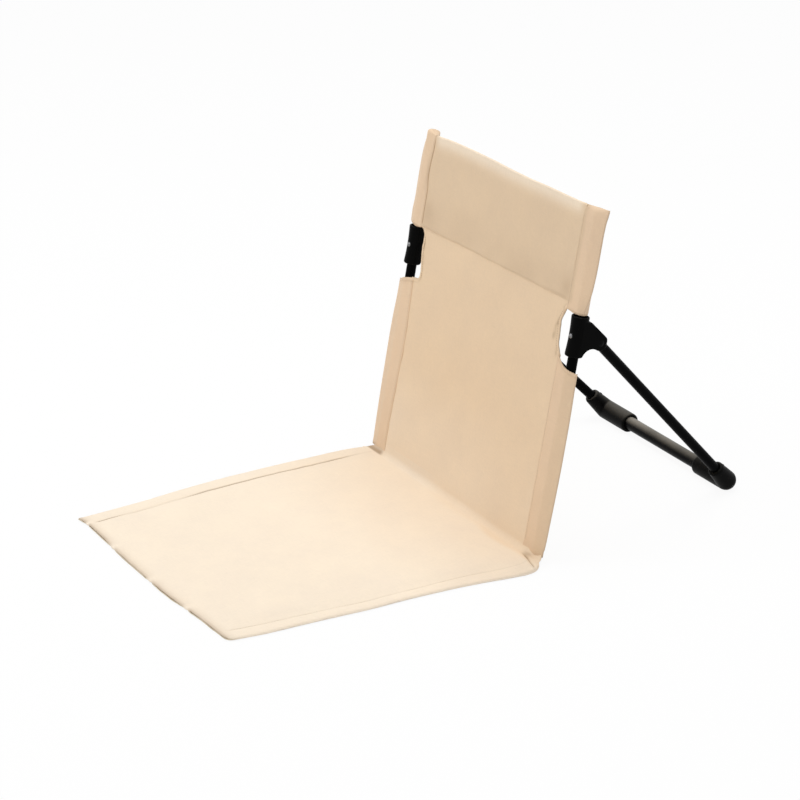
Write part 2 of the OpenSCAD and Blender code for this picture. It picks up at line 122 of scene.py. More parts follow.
def steps(*stops):
    """Rising values from (start, step), (next start, step), ..., (end, 0)."""
    out = []
    for (a, step), (b, _) in zip(stops, stops[1:]):
        count = max(1, round((b - a) / step))
        out += [a + (b - a) * k / count for k in range(count)]
    return np.array(out + [stops[-1][0]], float)


def lengths(points):
    """How far along their line the points lie."""
    return np.concatenate([[0], np.cumsum(np.linalg.norm(np.diff(points, axis=0), axis=1))])


# Meshes

def new_object(name, data):
    """Object with its data, in the scene."""
    made = bpy.data.objects.new(name, data)
    bpy.context.scene.collection.objects.link(made)
    return made


def mesh_object(name, points, faces, material):
    """Smooth shaded object from points in mm."""
    mesh = bpy.data.meshes.new(name)
    mesh.from_pydata([tuple(p) for p in np.asarray(points) * MM], [], [tuple(f) for f in faces])
    mesh.polygons.foreach_set("use_smooth", [True] * len(mesh.polygons))
    mesh.materials.append(material)
    mesh.update()
    return new_object(name, mesh)


def point_values(made, name, values):
    """Keeps one number or one vector for each point, which the material reads at every pose."""
    values = np.asarray(values, np.float32)
    if values.ndim == 1:
        made.data.attributes.new(name, "FLOAT", "POINT").data.foreach_set("value", values)
    else:
        made.data.attributes.new(name, "FLOAT_VECTOR", "POINT").data.foreach_set("vector", values.ravel())


def normals_of(grid):
    """Unit normals of a grid of points."""
    n = np.cross(np.gradient(grid, axis=0), np.gradient(grid, axis=1))
    return n / np.maximum(np.linalg.norm(n, axis=-1, keepdims=True), 1e-9)


def cloth_sheet(name, grid, thick, material, flat=None, side=1, ring=False, **values):
    """Closed thin cloth from a grid of points on its outer face: rows, then columns.

    ring joins the last column to the first. values are numbers for the material, one for each point.
    """
    rows, cols = grid.shape[:2]
    normal = normals_of(grid) * side
    if ring:
        wide = np.concatenate([grid[:, -1:], grid, grid[:, :1]], axis=1)
        normal = normals_of(wide)[:, 1:-1] * side
    inner = grid - normal * np.broadcast_to(np.asarray(thick, float), (rows, cols))[..., None]
    points = np.concatenate([grid.reshape(-1, 3), inner.reshape(-1, 3)])
    far = rows * cols
    r, c = np.meshgrid(np.arange(rows - 1), np.arange(cols if ring else cols - 1), indexing="ij")
    r, c = r.ravel(), c.ravel()
    d = (c + 1) % cols
    quads = np.stack([r * cols + c, (r + 1) * cols + c, (r + 1) * cols + d, r * cols + d], axis=1)
    if side < 0:
        quads = quads[:, ::-1]
    faces = [*quads, *(quads[:, ::-1] + far)]
    first, last = list(range(cols)), [(rows - 1) * cols + k for k in reversed(range(cols))]
    if ring:
        loops = [first, last]
    else:
        down = [k * cols + cols - 1 for k in range(rows - 1)]
        up = [k * cols for k in range(rows - 1, 0, -1)]
        loops = [first[:-1] + down + last[:-1] + up]
    for loop in loops:
        for a, b in zip(loop, loop[1:] + loop[:1]):
            faces.append((a, b, b + far, a + far) if side > 0 else (b, a, a + far, b + far))
    made = mesh_object(name, points, faces, material)
    if flat is not None:
        point_values(made, "flat", np.concatenate([flat.reshape(-1, 3)] * 2) * MM)
    for key, value in values.items():
        point_values(made, key, np.tile(np.broadcast_to(value, (rows, cols)).ravel(), 2))
    return made


def stitches(name, lines, material, length=2.9, pitch=3.7, width=0.62):
    """Short rounded thread bars along lines. Each line is (points, outward directions)."""
    ring, cuts = 6, (0.0, 0.18, 0.5, 0.82, 1.0)
    thick = (0.25, 0.85, 1.0, 0.85, 0.25)
    points, faces = [], []
    for path, out in lines:
        run = lengths(path)
        for k in range(int(run[-1] // pitch)):
            ends = np.array([k * pitch + 0.4, k * pitch + 0.4 + length])
            a, b = (np.array([np.interp(e, run, path[:, i]) for i in range(3)]) for e in ends)
            up = np.array([np.interp(ends.mean(), run, out[:, i]) for i in range(3)])
            up /= np.linalg.norm(up)
            aside = np.cross(up, (b - a) / max(np.linalg.norm(b - a), 1e-9))
            base = len(points)
            for cut, t in zip(cuts, thick):
                centre = a + (b - a) * cut + up * (0.12 * math.sin(math.pi * cut) - 0.05)
                for j in range(ring):
                    w = 2 * math.pi * j / ring
                    points.append(centre + (aside * math.cos(w) + up * 0.7 * math.sin(w)) * t * width / 2)
            for i in range(len(cuts) - 1):
                for j in range(ring):
                    p, q = base + i * ring + j, base + i * ring + (j + 1) % ring
                    faces.append((p, q, q + ring, p + ring))
            faces.append(tuple(base + j for j in reversed(range(ring))))
            faces.append(tuple(base + (len(cuts) - 1) * ring + j for j in range(ring)))
    return mesh_object(name, points, faces, material)


# Materials

class Nodes:
    """Small helper to write the nodes of a material or of the world in short lines."""

    def __init__(self, owner):
        owner.use_nodes = True
        self.owner = owner
        self.tree = owner.node_tree
        self.shader = self.tree.nodes.get("Principled BSDF")

    def feed(self, node, inputs):
        """Links a node's inputs to sockets, or sets them to plain values."""
        for key, value in inputs.items():
            if isinstance(value, bpy.types.NodeSocket):
                self.tree.links.new(value, node.inputs[key])
            else:
                node.inputs[key].default_value = value

    def add(self, kind, inputs=None, **settings):
        """New node with its settings, and its inputs by name or by number."""
        node = self.tree.nodes.new(kind)
        for key, value in settings.items():
            setattr(node, key, value)
        self.feed(node, inputs or {})
        return node

    def finished(self, inputs):
        """The material, once its shader has its inputs."""
        self.feed(self.shader, inputs)
        return self.owner

    def math(self, operation, a, b=0.0, c=0.0):
        return self.add("ShaderNodeMath", {0: a, 1: b, 2: c}, operation=operation).outputs[0]

    def split(self, vector):
        return self.add("ShaderNodeSeparateXYZ", {0: vector}).outputs

    def object_place(self):
        return self.add("ShaderNodeTexCoord").outputs["Object"]

    def point_value(self, name, output="Fac"):
        """What point_values keeps under a name."""
        return self.add("ShaderNodeAttribute", attribute_name=name).outputs[output]

    def noise(self, place, scale, detail=3.0, rough=0.5):
        inputs = {"Vector": place, "Scale": scale, "Detail": detail, "Roughness": rough}
        return self.add("ShaderNodeTexNoise", inputs).outputs["Fac"]

    def remap(self, value, a, b, low=0.0, high=1.0):
        inputs = {"Value": value, "From Min": a, "From Max": b, "To Min": low, "To Max": high}
        return self.add("ShaderNodeMapRange", inputs).outputs["Result"]

    def mix(self, share, a, b, mode="MIX"):
        inputs = {"Factor": share, "A": a, "B": b}
        return self.add("ShaderNodeMix", inputs, data_type="RGBA", blend_type=mode).outputs["Result"]

    def bump(self, height, strength, distance, under=None):
        inputs = {"Strength": strength, "Distance": distance, "Height": height}
        if under is not None:
            inputs["Normal"] = under
        return self.add("ShaderNodeBump", inputs).outputs["Normal"]

    def scaled(self, place, factors):
        return self.add("ShaderNodeVectorMath", {0: place, 1: factors}, operation="MULTIPLY").outputs[0]

    def white_where_seen(self, lit, glow_kind, share, output):
        """White for the camera, in reflections and through glass, by a share, and lit elsewhere."""
        path = self.add("ShaderNodeLightPath").outputs
        seen = self.math("MAXIMUM", path["Is Camera Ray"], path["Is Glossy Ray"])
        seen = self.math("MAXIMUM", seen, path["Is Transmission Ray"])
        glow = self.add(glow_kind, {"Color": (1, 1, 1, 1), "Strength": 1.0}).outputs[0]
        both = self.add("ShaderNodeMixShader", {0: self.math("MULTIPLY", seen, share), 1: lit, 2: glow})
        self.feed(self.tree.nodes[output], {"Surface": both.outputs[0]})


def rgb(r, g, b):
    """Linear colour from the 0 to 255 numbers that a screen shows."""
    line = [v / 255 for v in (r, g, b)]
    return (*(v / 12.92 if v <= 0.04045 else ((v + 0.055) / 1.055) ** 2.4 for v in line), 1.0)


def darker(colour, share):
    return (*(c * share for c in colour[:3]), 1.0)


# Dark brown that the cloths' seam value mixes in: mostly painted shade, with a few stains
SHADE_AND_SOIL = rgb(146, 113, 74)
# Grey of the painted highlight on upward faces of the rear support
HIGHLIGHT_GREY = rgb(168, 163, 153)


def cloth_material(name, colour, second=None, third=None, yarn=0.62):
    """Plain-woven polyester canvas: warp and weft with slubs, fibre sheen, faint blotches, and darker marks
    that are mostly painted shade.

    The points' tone mixes in the second colour and their double the third, both painted light or shade where
    the callers lay them; their seam value mixes in a dark brown, mostly painted shade in seams, folds, corners
    and under edges, with a few stains.
    """
    m = Nodes(bpy.data.materials.new(name))
    flat = m.point_value("flat", "Vector")
    place = m.split(flat)
    turn = math.pi / (yarn * MM)
    warp, weft = (m.math("SINE", m.math("MULTIPLY", place[k], turn)) for k in (0, 1))
    over = m.math("MULTIPLY", warp, weft)
    threads = m.math("ADD", m.math("ABSOLUTE", warp), m.math("ABSOLUTE", weft))
    height = m.math("MULTIPLY_ADD", over, 0.5, m.math("MULTIPLY", threads, 0.35))
    slub = m.math("ADD", *(m.noise(m.scaled(flat, way), 1.0, 2.0)
                           for way in ((60.0, 1500.0, 60.0), (1500.0, 60.0, 60.0))))
    blotch = m.noise(flat, 16.0, 3.0, 0.55)
    base = colour
    if second:
        base = m.mix(m.point_value("tone"), base, second)
    if third:
        base = m.mix(m.point_value("double"), base, third)
    level = m.math("ADD", m.remap(blotch, 0.3, 0.7, 0.975, 1.015), m.remap(slub, 0.8, 1.2, -0.02, 0.02))
    level = m.math("ADD", level, m.math("MULTIPLY", over, 0.012))
    level = m.math("ADD", level, m.remap(m.noise(flat, 260.0, 2.0, 0.6), 0.3, 0.7, -0.012, 0.012))
    warm = m.math("MULTIPLY_ADD", m.remap(blotch, 0.3, 0.7, -0.006, 0.006), -1.0, level)
    grey = m.add("ShaderNodeCombineColor", {0: level, 1: level, 2: warm}).outputs[0]
    base = m.mix(1.0, base, grey, "MULTIPLY")
    # Painted shade: darker towards the dark brown where the seam value says, in seams, folds, corners and
    # under edges
    base = m.mix(m.math("MULTIPLY", m.point_value("seam"), 0.8), base, SHADE_AND_SOIL)
    coarse = m.bump(m.noise(flat, 55.0, 3.0), 0.25, 0.0012)
    weave = m.bump(m.math("ADD", height, m.math("MULTIPLY", slub, 0.8)), 0.35, 0.00022, coarse)
    return m.finished({"Base Color": base, "Roughness": m.remap(slub, 0.8, 1.2, 0.78, 0.9), "Normal": weave,
                       "Sheen Weight": 0.12, "Sheen Roughness": 0.5, "Specular IOR Level": 0.25})


def worn_and_glinting_edges(m, scuff):
    """1 on sharp edges where they are scuffed, which the coated materials lighten for wear and as a painted
    rim highlight.
    """
    bevel = m.add("ShaderNodeBevel", {"Radius": 0.0012}, samples=4).outputs[0]
    normal = m.add("ShaderNodeNewGeometry").outputs["Normal"]
    sharp = m.add("ShaderNodeVectorMath", {0: bevel, 1: normal}, operation="DOT_PRODUCT")
    edge = m.remap(sharp.outputs["Value"], 0.999, 0.93)
    return m.math("MULTIPLY", edge, m.remap(scuff, 0.42, 0.62))


def painted_top_highlight(m, place, cloud, highlight, near_highlight):
    """Painted highlight on what faces up, where the light from above reflects. The last argument is the share
    that is left at the +X end of the rear support.
    """
    up = m.split(m.add("ShaderNodeTexCoord").outputs["Normal"])[2]
    facing = m.math("POWER", m.remap(up, 0.3, 0.99), 1.7)
    lying = m.math("MULTIPLY", facing, m.remap(cloud, 0.25, 0.6, 0.65 * highlight, highlight))
    return m.math("MULTIPLY", lying, m.remap(m.split(place)[0], -0.09, 0.1, 1.0, near_highlight))


def coated_material(name, dark, light, rough, grain, depth, wear_and_glint, shine, highlight=0.0, near_highlight=1.0):
    """Black paint or moulded plastic: fine grain, cloudy gloss, edges lightened for wear and as a painted rim
    highlight, and a painted highlight on upward faces.
    """
    m = Nodes(bpy.data.materials.new(name))
    place = m.object_place()
    cloud = m.noise(place, 22.0, 4.0)
    speck = m.noise(place, grain, 3.0, 0.65)
    worn_and_lit = worn_and_glinting_edges(m, m.noise(m.scaled(place, (1.0, 1.0, 0.22)), 310.0, 4.0, 0.7))
    base = m.mix(m.remap(cloud, 0.35, 0.7), dark, light)
    # Lighter edges: wear, and a painted highlight along the rims
    base = m.mix(m.math("MULTIPLY", worn_and_lit, wear_and_glint), base, (0.09, 0.09, 0.088, 1))
    # Painted highlight on upward faces, fading towards the +X end of the rear support
    if highlight:
        base = m.mix(painted_top_highlight(m, place, cloud, highlight, near_highlight), base, HIGHLIGHT_GREY)
    gloss = m.math("ADD", m.remap(cloud, 0.3, 0.7, rough - 0.05, rough + 0.06),
                   m.remap(speck, 0.3, 0.7, -0.05, 0.05))
    return m.finished({"Base Color": base, "Roughness": m.math("MULTIPLY_ADD", worn_and_lit, 0.12, gloss),
                       "Specular IOR Level": shine, "Normal": m.bump(speck, 0.3, depth)})


def steel_material(name):
    """Bright rivet steel with fine scratches."""
    m = Nodes(bpy.data.materials.new(name))
    scratch = m.noise(m.scaled(m.object_place(), (1.0, 1.0, 9.0)), 900.0, 4.0, 0.7)
    base = m.mix(m.remap(scratch, 0.35, 0.65), rgb(104, 104, 106), rgb(140, 140, 140))
    return m.finished({"Base Color": base, "Roughness": m.remap(scratch, 0.3, 0.7, 0.24, 0.42),
                       "Metallic": 1.0, "Normal": m.bump(scratch, 0.2, 0.0001)})


def thread_material(name, colour):
    """Twisted sewing thread."""
    m = Nodes(bpy.data.materials.new(name))
    place = m.object_place()
    twist = m.noise(place, 2600.0, 2.0)
    tone = m.remap(m.noise(place, 90.0, 2.0), 0.3, 0.7, 0.0, 0.35)
    shade = m.mix(m.remap(twist, 0.35, 0.65), colour, darker(colour, 0.72))
    return m.finished({"Base Color": m.mix(tone, shade, darker(colour, 0.8)), "Roughness": 0.7,
                       "Sheen Weight": 0.2, "Normal": m.bump(twist, 0.5, 0.0002)})


def foam_material(name):
    """Open-cell foam: pale grey-white with fine cells."""
    m = Nodes(bpy.data.materials.new(name))
    place = m.object_place()
    cells = m.add("ShaderNodeTexVoronoi", {"Vector": place, "Scale": 900.0}).outputs["Distance"]
    base = m.mix(m.remap(cells, 0.1, 0.6), rgb(214, 212, 204), rgb(238, 236, 230))
    rough = m.remap(m.noise(place, 60.0), 0.3, 0.7, 0.85, 0.95)
    return m.finished({"Base Color": base, "Roughness": rough, "Normal": m.bump(cells, 0.5, 0.0004)})


# Seat and back are one cloth: the back's colour is a painted shaded copy of the seat's, and the band's colour
# is darker still, painted for the doubled cloth that lets less light through; the rear ply takes the band's
# colour too
SEAT_COLOUR = rgb(253, 238, 217)
BACK_COLOUR = rgb(238, 211, 178)
BAND_COLOUR = rgb(229, 203, 171)
PAINT = {"dark": rgb(6, 6, 7), "light": rgb(10, 10, 10), "rough": 0.3, "grain": 900.0, "depth": 0.00006,
         "wear_and_glint": 0.2}
PLASTIC = {"dark": rgb(6, 6, 6), "light": rgb(9, 9, 8), "rough": 0.4, "grain": 1500.0, "depth": 0.0001,
           "wear_and_glint": 0.5}

seat_back_cloth = cloth_material("seat_back_cloth", SEAT_COLOUR, BACK_COLOUR, BAND_COLOUR)
# The sleeves' second, darker colour is painted shade, laid beside the band and on the lower outer flanks
sleeve_cloth = cloth_material("sleeve_cloth", rgb(235, 206, 174), rgb(228, 201, 168))
band_cloth = cloth_material("band_cloth", BAND_COLOUR)
# The underside's second, paler colour is painted light, laid on its sides against the shade there
under_cloth = cloth_material("under_cloth", rgb(226, 210, 183), rgb(253, 240, 222), yarn=0.5)
pale_thread = thread_material("pale_thread", rgb(232, 208, 178))
tan_thread = thread_material("tan_thread", rgb(196, 168, 134))
seat_thread_pale = thread_material("seat_thread_pale", rgb(250, 232, 208))
black_paint = coated_material("black_paint", **PAINT, shine=0.012)
bar_paint = coated_material("bar_paint", **PAINT, shine=0.04, highlight=0.8, near_highlight=0.3)
black_plastic = coated_material("black_plastic", **PLASTIC, shine=0.03)
foot_plastic = coated_material("foot_plastic", **PLASTIC, shine=0.04, highlight=0.22, near_highlight=0.2)
rivet_black = coated_material("rivet_black", rgb(6, 6, 6), rgb(9, 9, 9), 0.4, 1200.0, 0.00006, 0.0, 0.05)
rivet_steel = steel_material("rivet_steel")
seat_foam_material = foam_material("seat_foam_material")


# Shape of the back and the seat

# y of the corner where the back's front and the seat's top would meet, and how far from it the turn reaches
CORNER_Y = (PANEL_N + SEAT_TOP * SL) / CL
REACH = FILLET / math.tan((math.pi / 2 + LEAN) / 2)
# Centre of the turn, and the height up the poles where it ends
TURN_Y, TURN_Z = CORNER_Y - REACH, SEAT_TOP + FILLET
BACK_START = CORNER_Y * SL + SEAT_TOP * CL + REACH
TURN_ANGLE = math.pi / 2 - LEAN
# How far from a cloth's edge its points lie
EDGE_IN = np.array([0, 0.12, 0.45, 1.0, 1.9, 3.0, 4.6, 6.8, 9.5, 12.5, 15.5, 18.0, 19.6, 20.6, 21.3, 22.2,
                    23.6, 25.8, 29.0, 33.5])
# Reach of the turn to +X and to -X, at shares of the way through it
TURN_SHARES = (0, 0.2, 0.45, 0.65, 0.8, 0.9, 1)
TURN_NEAR = (223.5, 220, 215, 211, 208.5, 205.5, 202)
TURN_FAR = (214.5, 210, 205.5, 202, 198.5, 195, 188)
# Radii of the seat's front corners, and how far in its side hems are stitched
NEAR_CORNER, FAR_CORNER = 10.0, 1.5
HEM_Y = (-430, -372, -319, -250, -195, -140, -92, -16)
HEM_NEAR = (21.5, 21.0, 19.5, 18.0, 17.5, 19.5, 22.5, 24.0)
HEM_FAR = (23.0, 25.0, 24.6, 26.0, 25.5, 25.4, 26.3, 24.5)
# Outlines of the cut-outs beside the hubs, as (x, height), from the top down
NEAR_CUT = ((176, 322.5), (172, 318.5), (168, 311), (165.6, 303), (165.9, 293), (166.8, 283),
            (167.5, 277), (171, 269.5), (176, 261.2))
FAR_CUT = ((176, 322), (168, 321), (163.5, 316), (163.2, 307), (163.4, 298), (161.8, 290), (161.4, 281),
           (160, 273), (158.8, 266), (158.6, 260), (160, 256), (165, 254), (176, 253))
# Darker spots beside the near cut-out: x, height and strength. The one at its top corner is painted shade
# under the hem
CUT_SPOTS = ((155.5, 281, 0.55), (156.5, 293, 0.35), (166.5, 262, 0.4), (168, 318, 0.3))
# Radius of the turned hem at the back's top
TOP_FOLD = 1.9


def left_half(y):
    """The seat's edge on the sitter's left, which the corner behind the pole pushes out."""
    return curve(y, (-438, 202.2), (-387, 208), (-340, 209.8), (-298, 211.6), (-247, 214.6), (-208, 214.4),
                 (-163, 215.6), (-110, 219.4), (-52, 228), (-34, 229.5), (-22, 227), (-16, 223))


def right_half(y):
    """The seat's edge on the sitter's right."""
    return curve(y, (-438, 198.8), (-428, 199.3), (-387, 202.5), (-340, 207.0), (-264, 216.0), (-188, 220.0),
                 (-111, 220.5), (-33, 218), (-16, 214.5))


def seat_span(y):
    """How far the seat reaches to +X and to -X at one y, with its front corners rounded."""
    reach = []
    for half, corner in ((left_half(y), NEAR_CORNER), (right_half(y), FAR_CORNER)):
        t = np.clip((corner - (y - FRONT_Y)) / corner, 0, 1)
        reach.append(float(half) - corner * (1 - math.sqrt(1 - t * t)))
    return reach


def front_bow(x, y):
    """How far the seat's cloth runs ahead of a straight front edge, less and less towards the rear."""
    bow = curve(x, (-200, 5.6), (-190, 3.8), (-170, 2.6), (-135, 3.4), (-100, 5.4), (10, 7.6), (54, 7.4),
                (134, 1.6), (171, 0.4), (205, -0.8))
    return bow * smooth(y, -360, FRONT_Y)


def front_gaps(x):
    """Places where the top cloth comes down over the bottom cover's hem at the front."""
    return sum(bell(x - at, wide) for at, wide in ((-99, 7), (10, 6), (101, 6), (-178, 4)))


def top_line(x):
    """Height of the back's top edge, which hangs a little between the poles."""
    line = curve(x, (-212, 440.5), (-203, 443.0), (-196, 446.4), (-190, 446.8), (-181, 444.6),
                 (-168, 443.9), (-140, 446.0), (-95, 447.5), (-21, 447.5), (37, 447.6), (103, 449.8),
                 (151, 450.8), (176, 451.8), (200, 453.4), (214, 454.6))
    return line + 0.5 * ripple(x, 0, 5, 40, 2)


def band_line(x):
    """Height of the lower edge of the back's double upper part."""
    return BAND_S + 0.022 * x + 0.8 * ripple(x, 0, 9, 22, 2)


def raised(x, s):
    """Height of a point of the back once its top is drawn to the top line."""
    return s + (top_line(x) - TOP_S) * smooth(s, 350, TOP_S)


def cut_out(x, s):
    """Distance in mm from the edge of the nearer cut-out."""
    x, s = np.broadcast_arrays(np.asarray(x, float), np.asarray(s, float))
    best = np.full(x.shape, 99.0)
    for side, line in ((1, NEAR_CUT), (-1, FAR_CUT)):
        for a, b in zip(line, line[1:]):
            wide, up = b[0] - a[0], b[1] - a[1]
            t = np.clip(((side * x - a[0]) * wide + (s - a[1]) * up) / (wide ** 2 + up ** 2), 0, 1)
            best = np.minimum(best, np.hypot(side * x - a[0] - t * wide, s - a[1] - t * up))
    return best


def back_half(s, near):
    """Half width of the back's panel on one side: less at the cut-out, more near the turn to the seat."""
    if s < 25:
        return float(np.interp(s, [12, 14, 16.5, 19], [188, 181, 178, SEAM_X]))
    x, up = np.array((NEAR_CUT if near else FAR_CUT)[::-1], float).T
    inside = smooth(s, up[0], up[0] + 6) * smooth(s, up[-1], up[-1] - 6)
    return float(np.interp(s, up, x) + 0.45 * ripple(s, 0, 61 + near, 8, 2) * inside)


def back_n(x, s):
    """Depth of the back cloth's front, with its hollow, its soft creases, its double band and its hems."""
    x, s = np.broadcast_arrays(np.asarray(x, float), np.asarray(s, float))
    side = SEAM_X - np.abs(x)
    free = smooth(side, 3, 22)
    hollow = 2.4 * (1 - (x / SEAM_X) ** 2) * smooth(s, 20, 200) * (1 - 0.5 * smooth(s, 380, 448))
    soft = 1.1 * ripple(x, s, 41, 70, 2) + 0.5 * ripple(x + s * 0.5, s * 0.5, 43, 30, 2)
    drag = 0.7 * ripple((x - s) * 0.35, (x + s), 45, 26, 2) * smooth(side, 80, 10)
    crease = (soft + drag * 0.5) * smooth(s, 12, 45) * (1 - 0.6 * smooth(s, 436, 449)) * free
    over = s - band_line(x)
    double = 0.5 * smooth(over, -0.8, 0.8)
    lip = 0.35 * bell(over - 0.9, 0.8)
    tuck = 0.5 * bell(over + 1.6, 1.2)
    pucker = 0.3 * ripple(x, s * 0.25, 47, 9, 2) * bell(over, 7) * free
    edge = cut_out(x, s)
    tug = 0.5 * ripple(s, x * 0.2, 51, 12, 2) * bell(side - 10, 7) * (edge > 0)
    hem = 0.45 * (smooth(edge, 5.6, 4.4) - 0.8 * bell(edge - 5.0, 1.0)) * (side > 0.5)
    gather = 0.8 * ripple(s, x * 0.3, 53, 9, 2) * bell(edge, 8)
    rim = 0.5 * (1 - smooth(edge, 0, 1.6))
    return PANEL_N + hollow - crease - double - (lip - tuck) * free - pucker + tug - hem + gather + rim


def across(near, far, inner=EDGE_IN, count=71):
    """Values over a row from its +X edge to its -X edge, close together at both edges."""
    a, b = near - inner, inner - far
    middle = (a[-1] + b[-1]) / 2 + (a[-1] - b[-1]) / 2 * np.linspace(1, -1, count)[1:-1]
    return np.concatenate([a, middle, b[::-1]])


def hem_in(x, y):
    """Distance of the hem's stitches from the seat's side."""
    return np.where(np.asarray(x) > 0, np.interp(y, HEM_Y, HEM_NEAR), np.interp(y, HEM_Y, HEM_FAR))


def seat_edges(x, y):
    """Distance to the seat's side, to its front, and to whichever is nearer, with the corners rounded."""
    side = np.where(x > 0, left_half(y) - x, right_half(y) + x)
    front = y - FRONT_Y
    corner = np.where(x > 0, NEAR_CORNER, FAR_CORNER)
    near = (side < corner) & (front < corner)
    rounded = corner - np.hypot(np.maximum(corner - side, 0), np.maximum(corner - front, 0))
    return side, front, np.maximum(np.where(near, rounded, np.minimum(side, front)), 0)


def seat_z(x, y):
    """Height of the seat's top cloth: over the foam, drawn down in the hem's seam and rolled at the edges."""
    side, front, both = seat_edges(x, y)
    stitched = side - hem_in(x, y)
    inside = np.minimum(stitched, front - 13)
    edge_z = 1.4 + 1.5 * smooth(front, 10, 0) * (1 - 1.4 * front_gaps(x)) + 0.35 * ripple(x, y, 15, 24, 1)
    t = np.clip(1 - both / 3.4, 0, 1)
    z = edge_z + (4.2 - edge_z) * np.sqrt(np.maximum(1 - t * t, 0))
    z = z + 0.5 * smooth(both, 2, 8) * (1 - smooth(stitched, -7, 0))
    z = z - np.where(x > 0, 0.4, 0.75) * bell(stitched, 1.25) * smooth(front, 4, 12)
    z = z + 2.1 * smooth(inside, 0, 24) + 0.9 * smooth(inside, 10, 90)
    pucker = ripple(y, x * 0.25, 11, 12, 2)
    z = z + 0.42 * pucker * bell(stitched - 3, 7) + 0.2 * pucker * bell(stitched + 8, 7)
    z = z + 0.8 * ripple(x, y, 3, 64, 2) * smooth(inside, 4, 45)
    return z + 0.55 * ripple(x * 0.3 + y * 0.12, y, 21, 24, 2) * smooth(inside, 2, 30)


def corner_fold(x, run):
    """Distance from the fold in the near corner; run is how far the cloth has gone past the seat's rear."""
    return run - curve(x, (176, 5.0), (187, 3.0), (199, 0.4), (207, -1.4), (218, -3.4), (232, -5.0))


# The cloth of seat and back

def seat_row(y):
    """Points of the seat at one y, and their darkness: seam dirt with painted shade along the hem's seam,
    painted shade where the front edge rolls down and in the near corner's fold.
    """
    near, far = seat_span(y)
    x = across(near, far)
    side, front, both = seat_edges(x, y)
    rear = smooth(y, -70, TURN_Y)
    flat_z = SEAT_TOP + smooth(both, 6, 30) - 3.2 * np.clip(1 - both / 4.0, 0, 1) ** 2
    z = seat_z(x, y) * (1 - rear) + (flat_z + 0.5 * ripple(x, y, 3, 64, 2)) * rear
    gap = corner_fold(x, y - TURN_Y)
    z = z - 1.3 * bell(gap, 1.7) * smooth(x, 190, 200) * smooth(both, 0, 5)
    wavy = np.sign(x) * 0.8 * ripple(y, 0, 7, 45, 2) * np.exp(-(near - np.abs(x)) / 20)
    # Seam dirt with painted shade of the seam's valley, much fainter on the left: a painted difference of
    # light between the sides
    line = np.where(x > 0, 0.14, 0.8) * bell(side - hem_in(x, y), 0.85) * smooth(front, 8, 16)
    # Painted shade where the front edge rolls down, broken where the top cloth comes down over the hem
    rim = 0.14 * smooth(front, 15, 3) + 0.5 * bell(front, 3.2) * (0.8 + 0.5 * ripple(x, 0, 67, 16, 2))
    # Painted shade in the near corner's fold
    crease = 0.7 * bell(gap, 1.0) * smooth(x, 192, 205) * smooth(x, 222, 217)
    shade_and_soil = line * (1 - rear * 0.5) + rim * (1 - front_gaps(x)) + crease
    return level_row(x + wavy, y - front_bow(x, y), z), shade_and_soil


def turn_row(share):
    """Points where the cloth turns from seat to back, at a share of the way, and their painted shade."""
    near, far = np.interp(share, TURN_SHARES, TURN_NEAR), np.interp(share, TURN_SHARES, TURN_FAR)
    x = across(near, far)
    plus = x > 0
    fold = np.abs(x) - 183
    gap = corner_fold(x, share * FILLET * TURN_ANGLE)
    valley = bell(gap, 1.7) * smooth(fold, -6, 4) * plus
    bulge = np.where(plus, 1.2, 0.3) * smooth(fold, 0, 14) * math.sin(math.pi * min(1, share * 1.15))
    tuck = np.where(plus, 4.4 * smooth(share, 0.3, 0.75), 3.2 * smooth(share, 0.5, 1.0))
    out = 0.9 * ripple(x, share * 12, 31, 34, 2) * math.sin(math.pi * share)
    out = out + (1 - share) * smooth(np.minimum(near - x, far + x), 6, 30)
    radius = FILLET - out + 1.7 * valley - bulge * (1 - valley) + tuck * smooth(fold, 1, 18)
    angle = share * TURN_ANGLE - math.pi / 2
    # Painted shade: in the near corner's fold, low beside the near pole, and under the far sleeve's lower end
    shade = bell(gap, 0.9) * smooth(fold, -4, 14) * plus
    dark_patch = 0.55 * bell(np.abs(x) - 191, 9) * bell(share - 0.42, 0.2) * plus
    wedge = smooth(share, 0.24, 0.36) * smooth(fold, -14, -5) * (1 - 0.5 * smooth(share, 0.5, 0.8)) * ~plus
    shade_and_soil = np.clip(0.35 * valley + 0.6 * shade + dark_patch + 0.82 * wedge, 0, 1)
    return level_row(x, TURN_Y + radius * math.cos(angle), TURN_Z + radius * math.sin(angle)), shade_and_soil


def back_row(s):
    """Points of the back's panel at one height, and their darkness: lines along the cut-outs' hems, painted
    shade at and above the band's lower edge, and stains.
    """
    x = across(back_half(s, True), back_half(s, False))
    edge = cut_out(x, s)
    plus = x > 0
    drift = 0.9 * ripple(s, 0 * x, 65, 11, 2) + 3.4 * bell(s - 287, 12) * plus
    line = bell(edge - 4.8 - drift, 1.1 + 0.9 * bell(s - 287, 16) * plus)
    line = line * np.clip(0.3 + 0.75 * ripple(s, 0 * x, 63, 8, 2), 0, 0.8)
    for at, height, strength in CUT_SPOTS:
        line = line + strength * bell(x - at, 2.2) * bell(s - height, 5)
    over = s - band_line(x)
    # Painted shade: above the band's lower edge, for the doubled cloth, and in a line under its lip
    band = 0.12 * smooth(over, -0.5, 0.5) * smooth(over, 60, 5) * (0.8 + 0.8 * ripple(x, s, 69, 34, 2))
    band = band + 0.3 * bell(over + 0.6, 0.9)
    stain = 0.16 * bell(np.abs(x) - 164, 12) * bell(s - 346, 14)
    shade_and_soil = np.clip(np.maximum(line + 0.3 * bell(edge, 1.2), band) + stain, 0, 1)
    return from_back(x, back_n(x, s), raised(x, s)), shade_and_soil * (np.abs(x) < SEAM_X - 0.5)


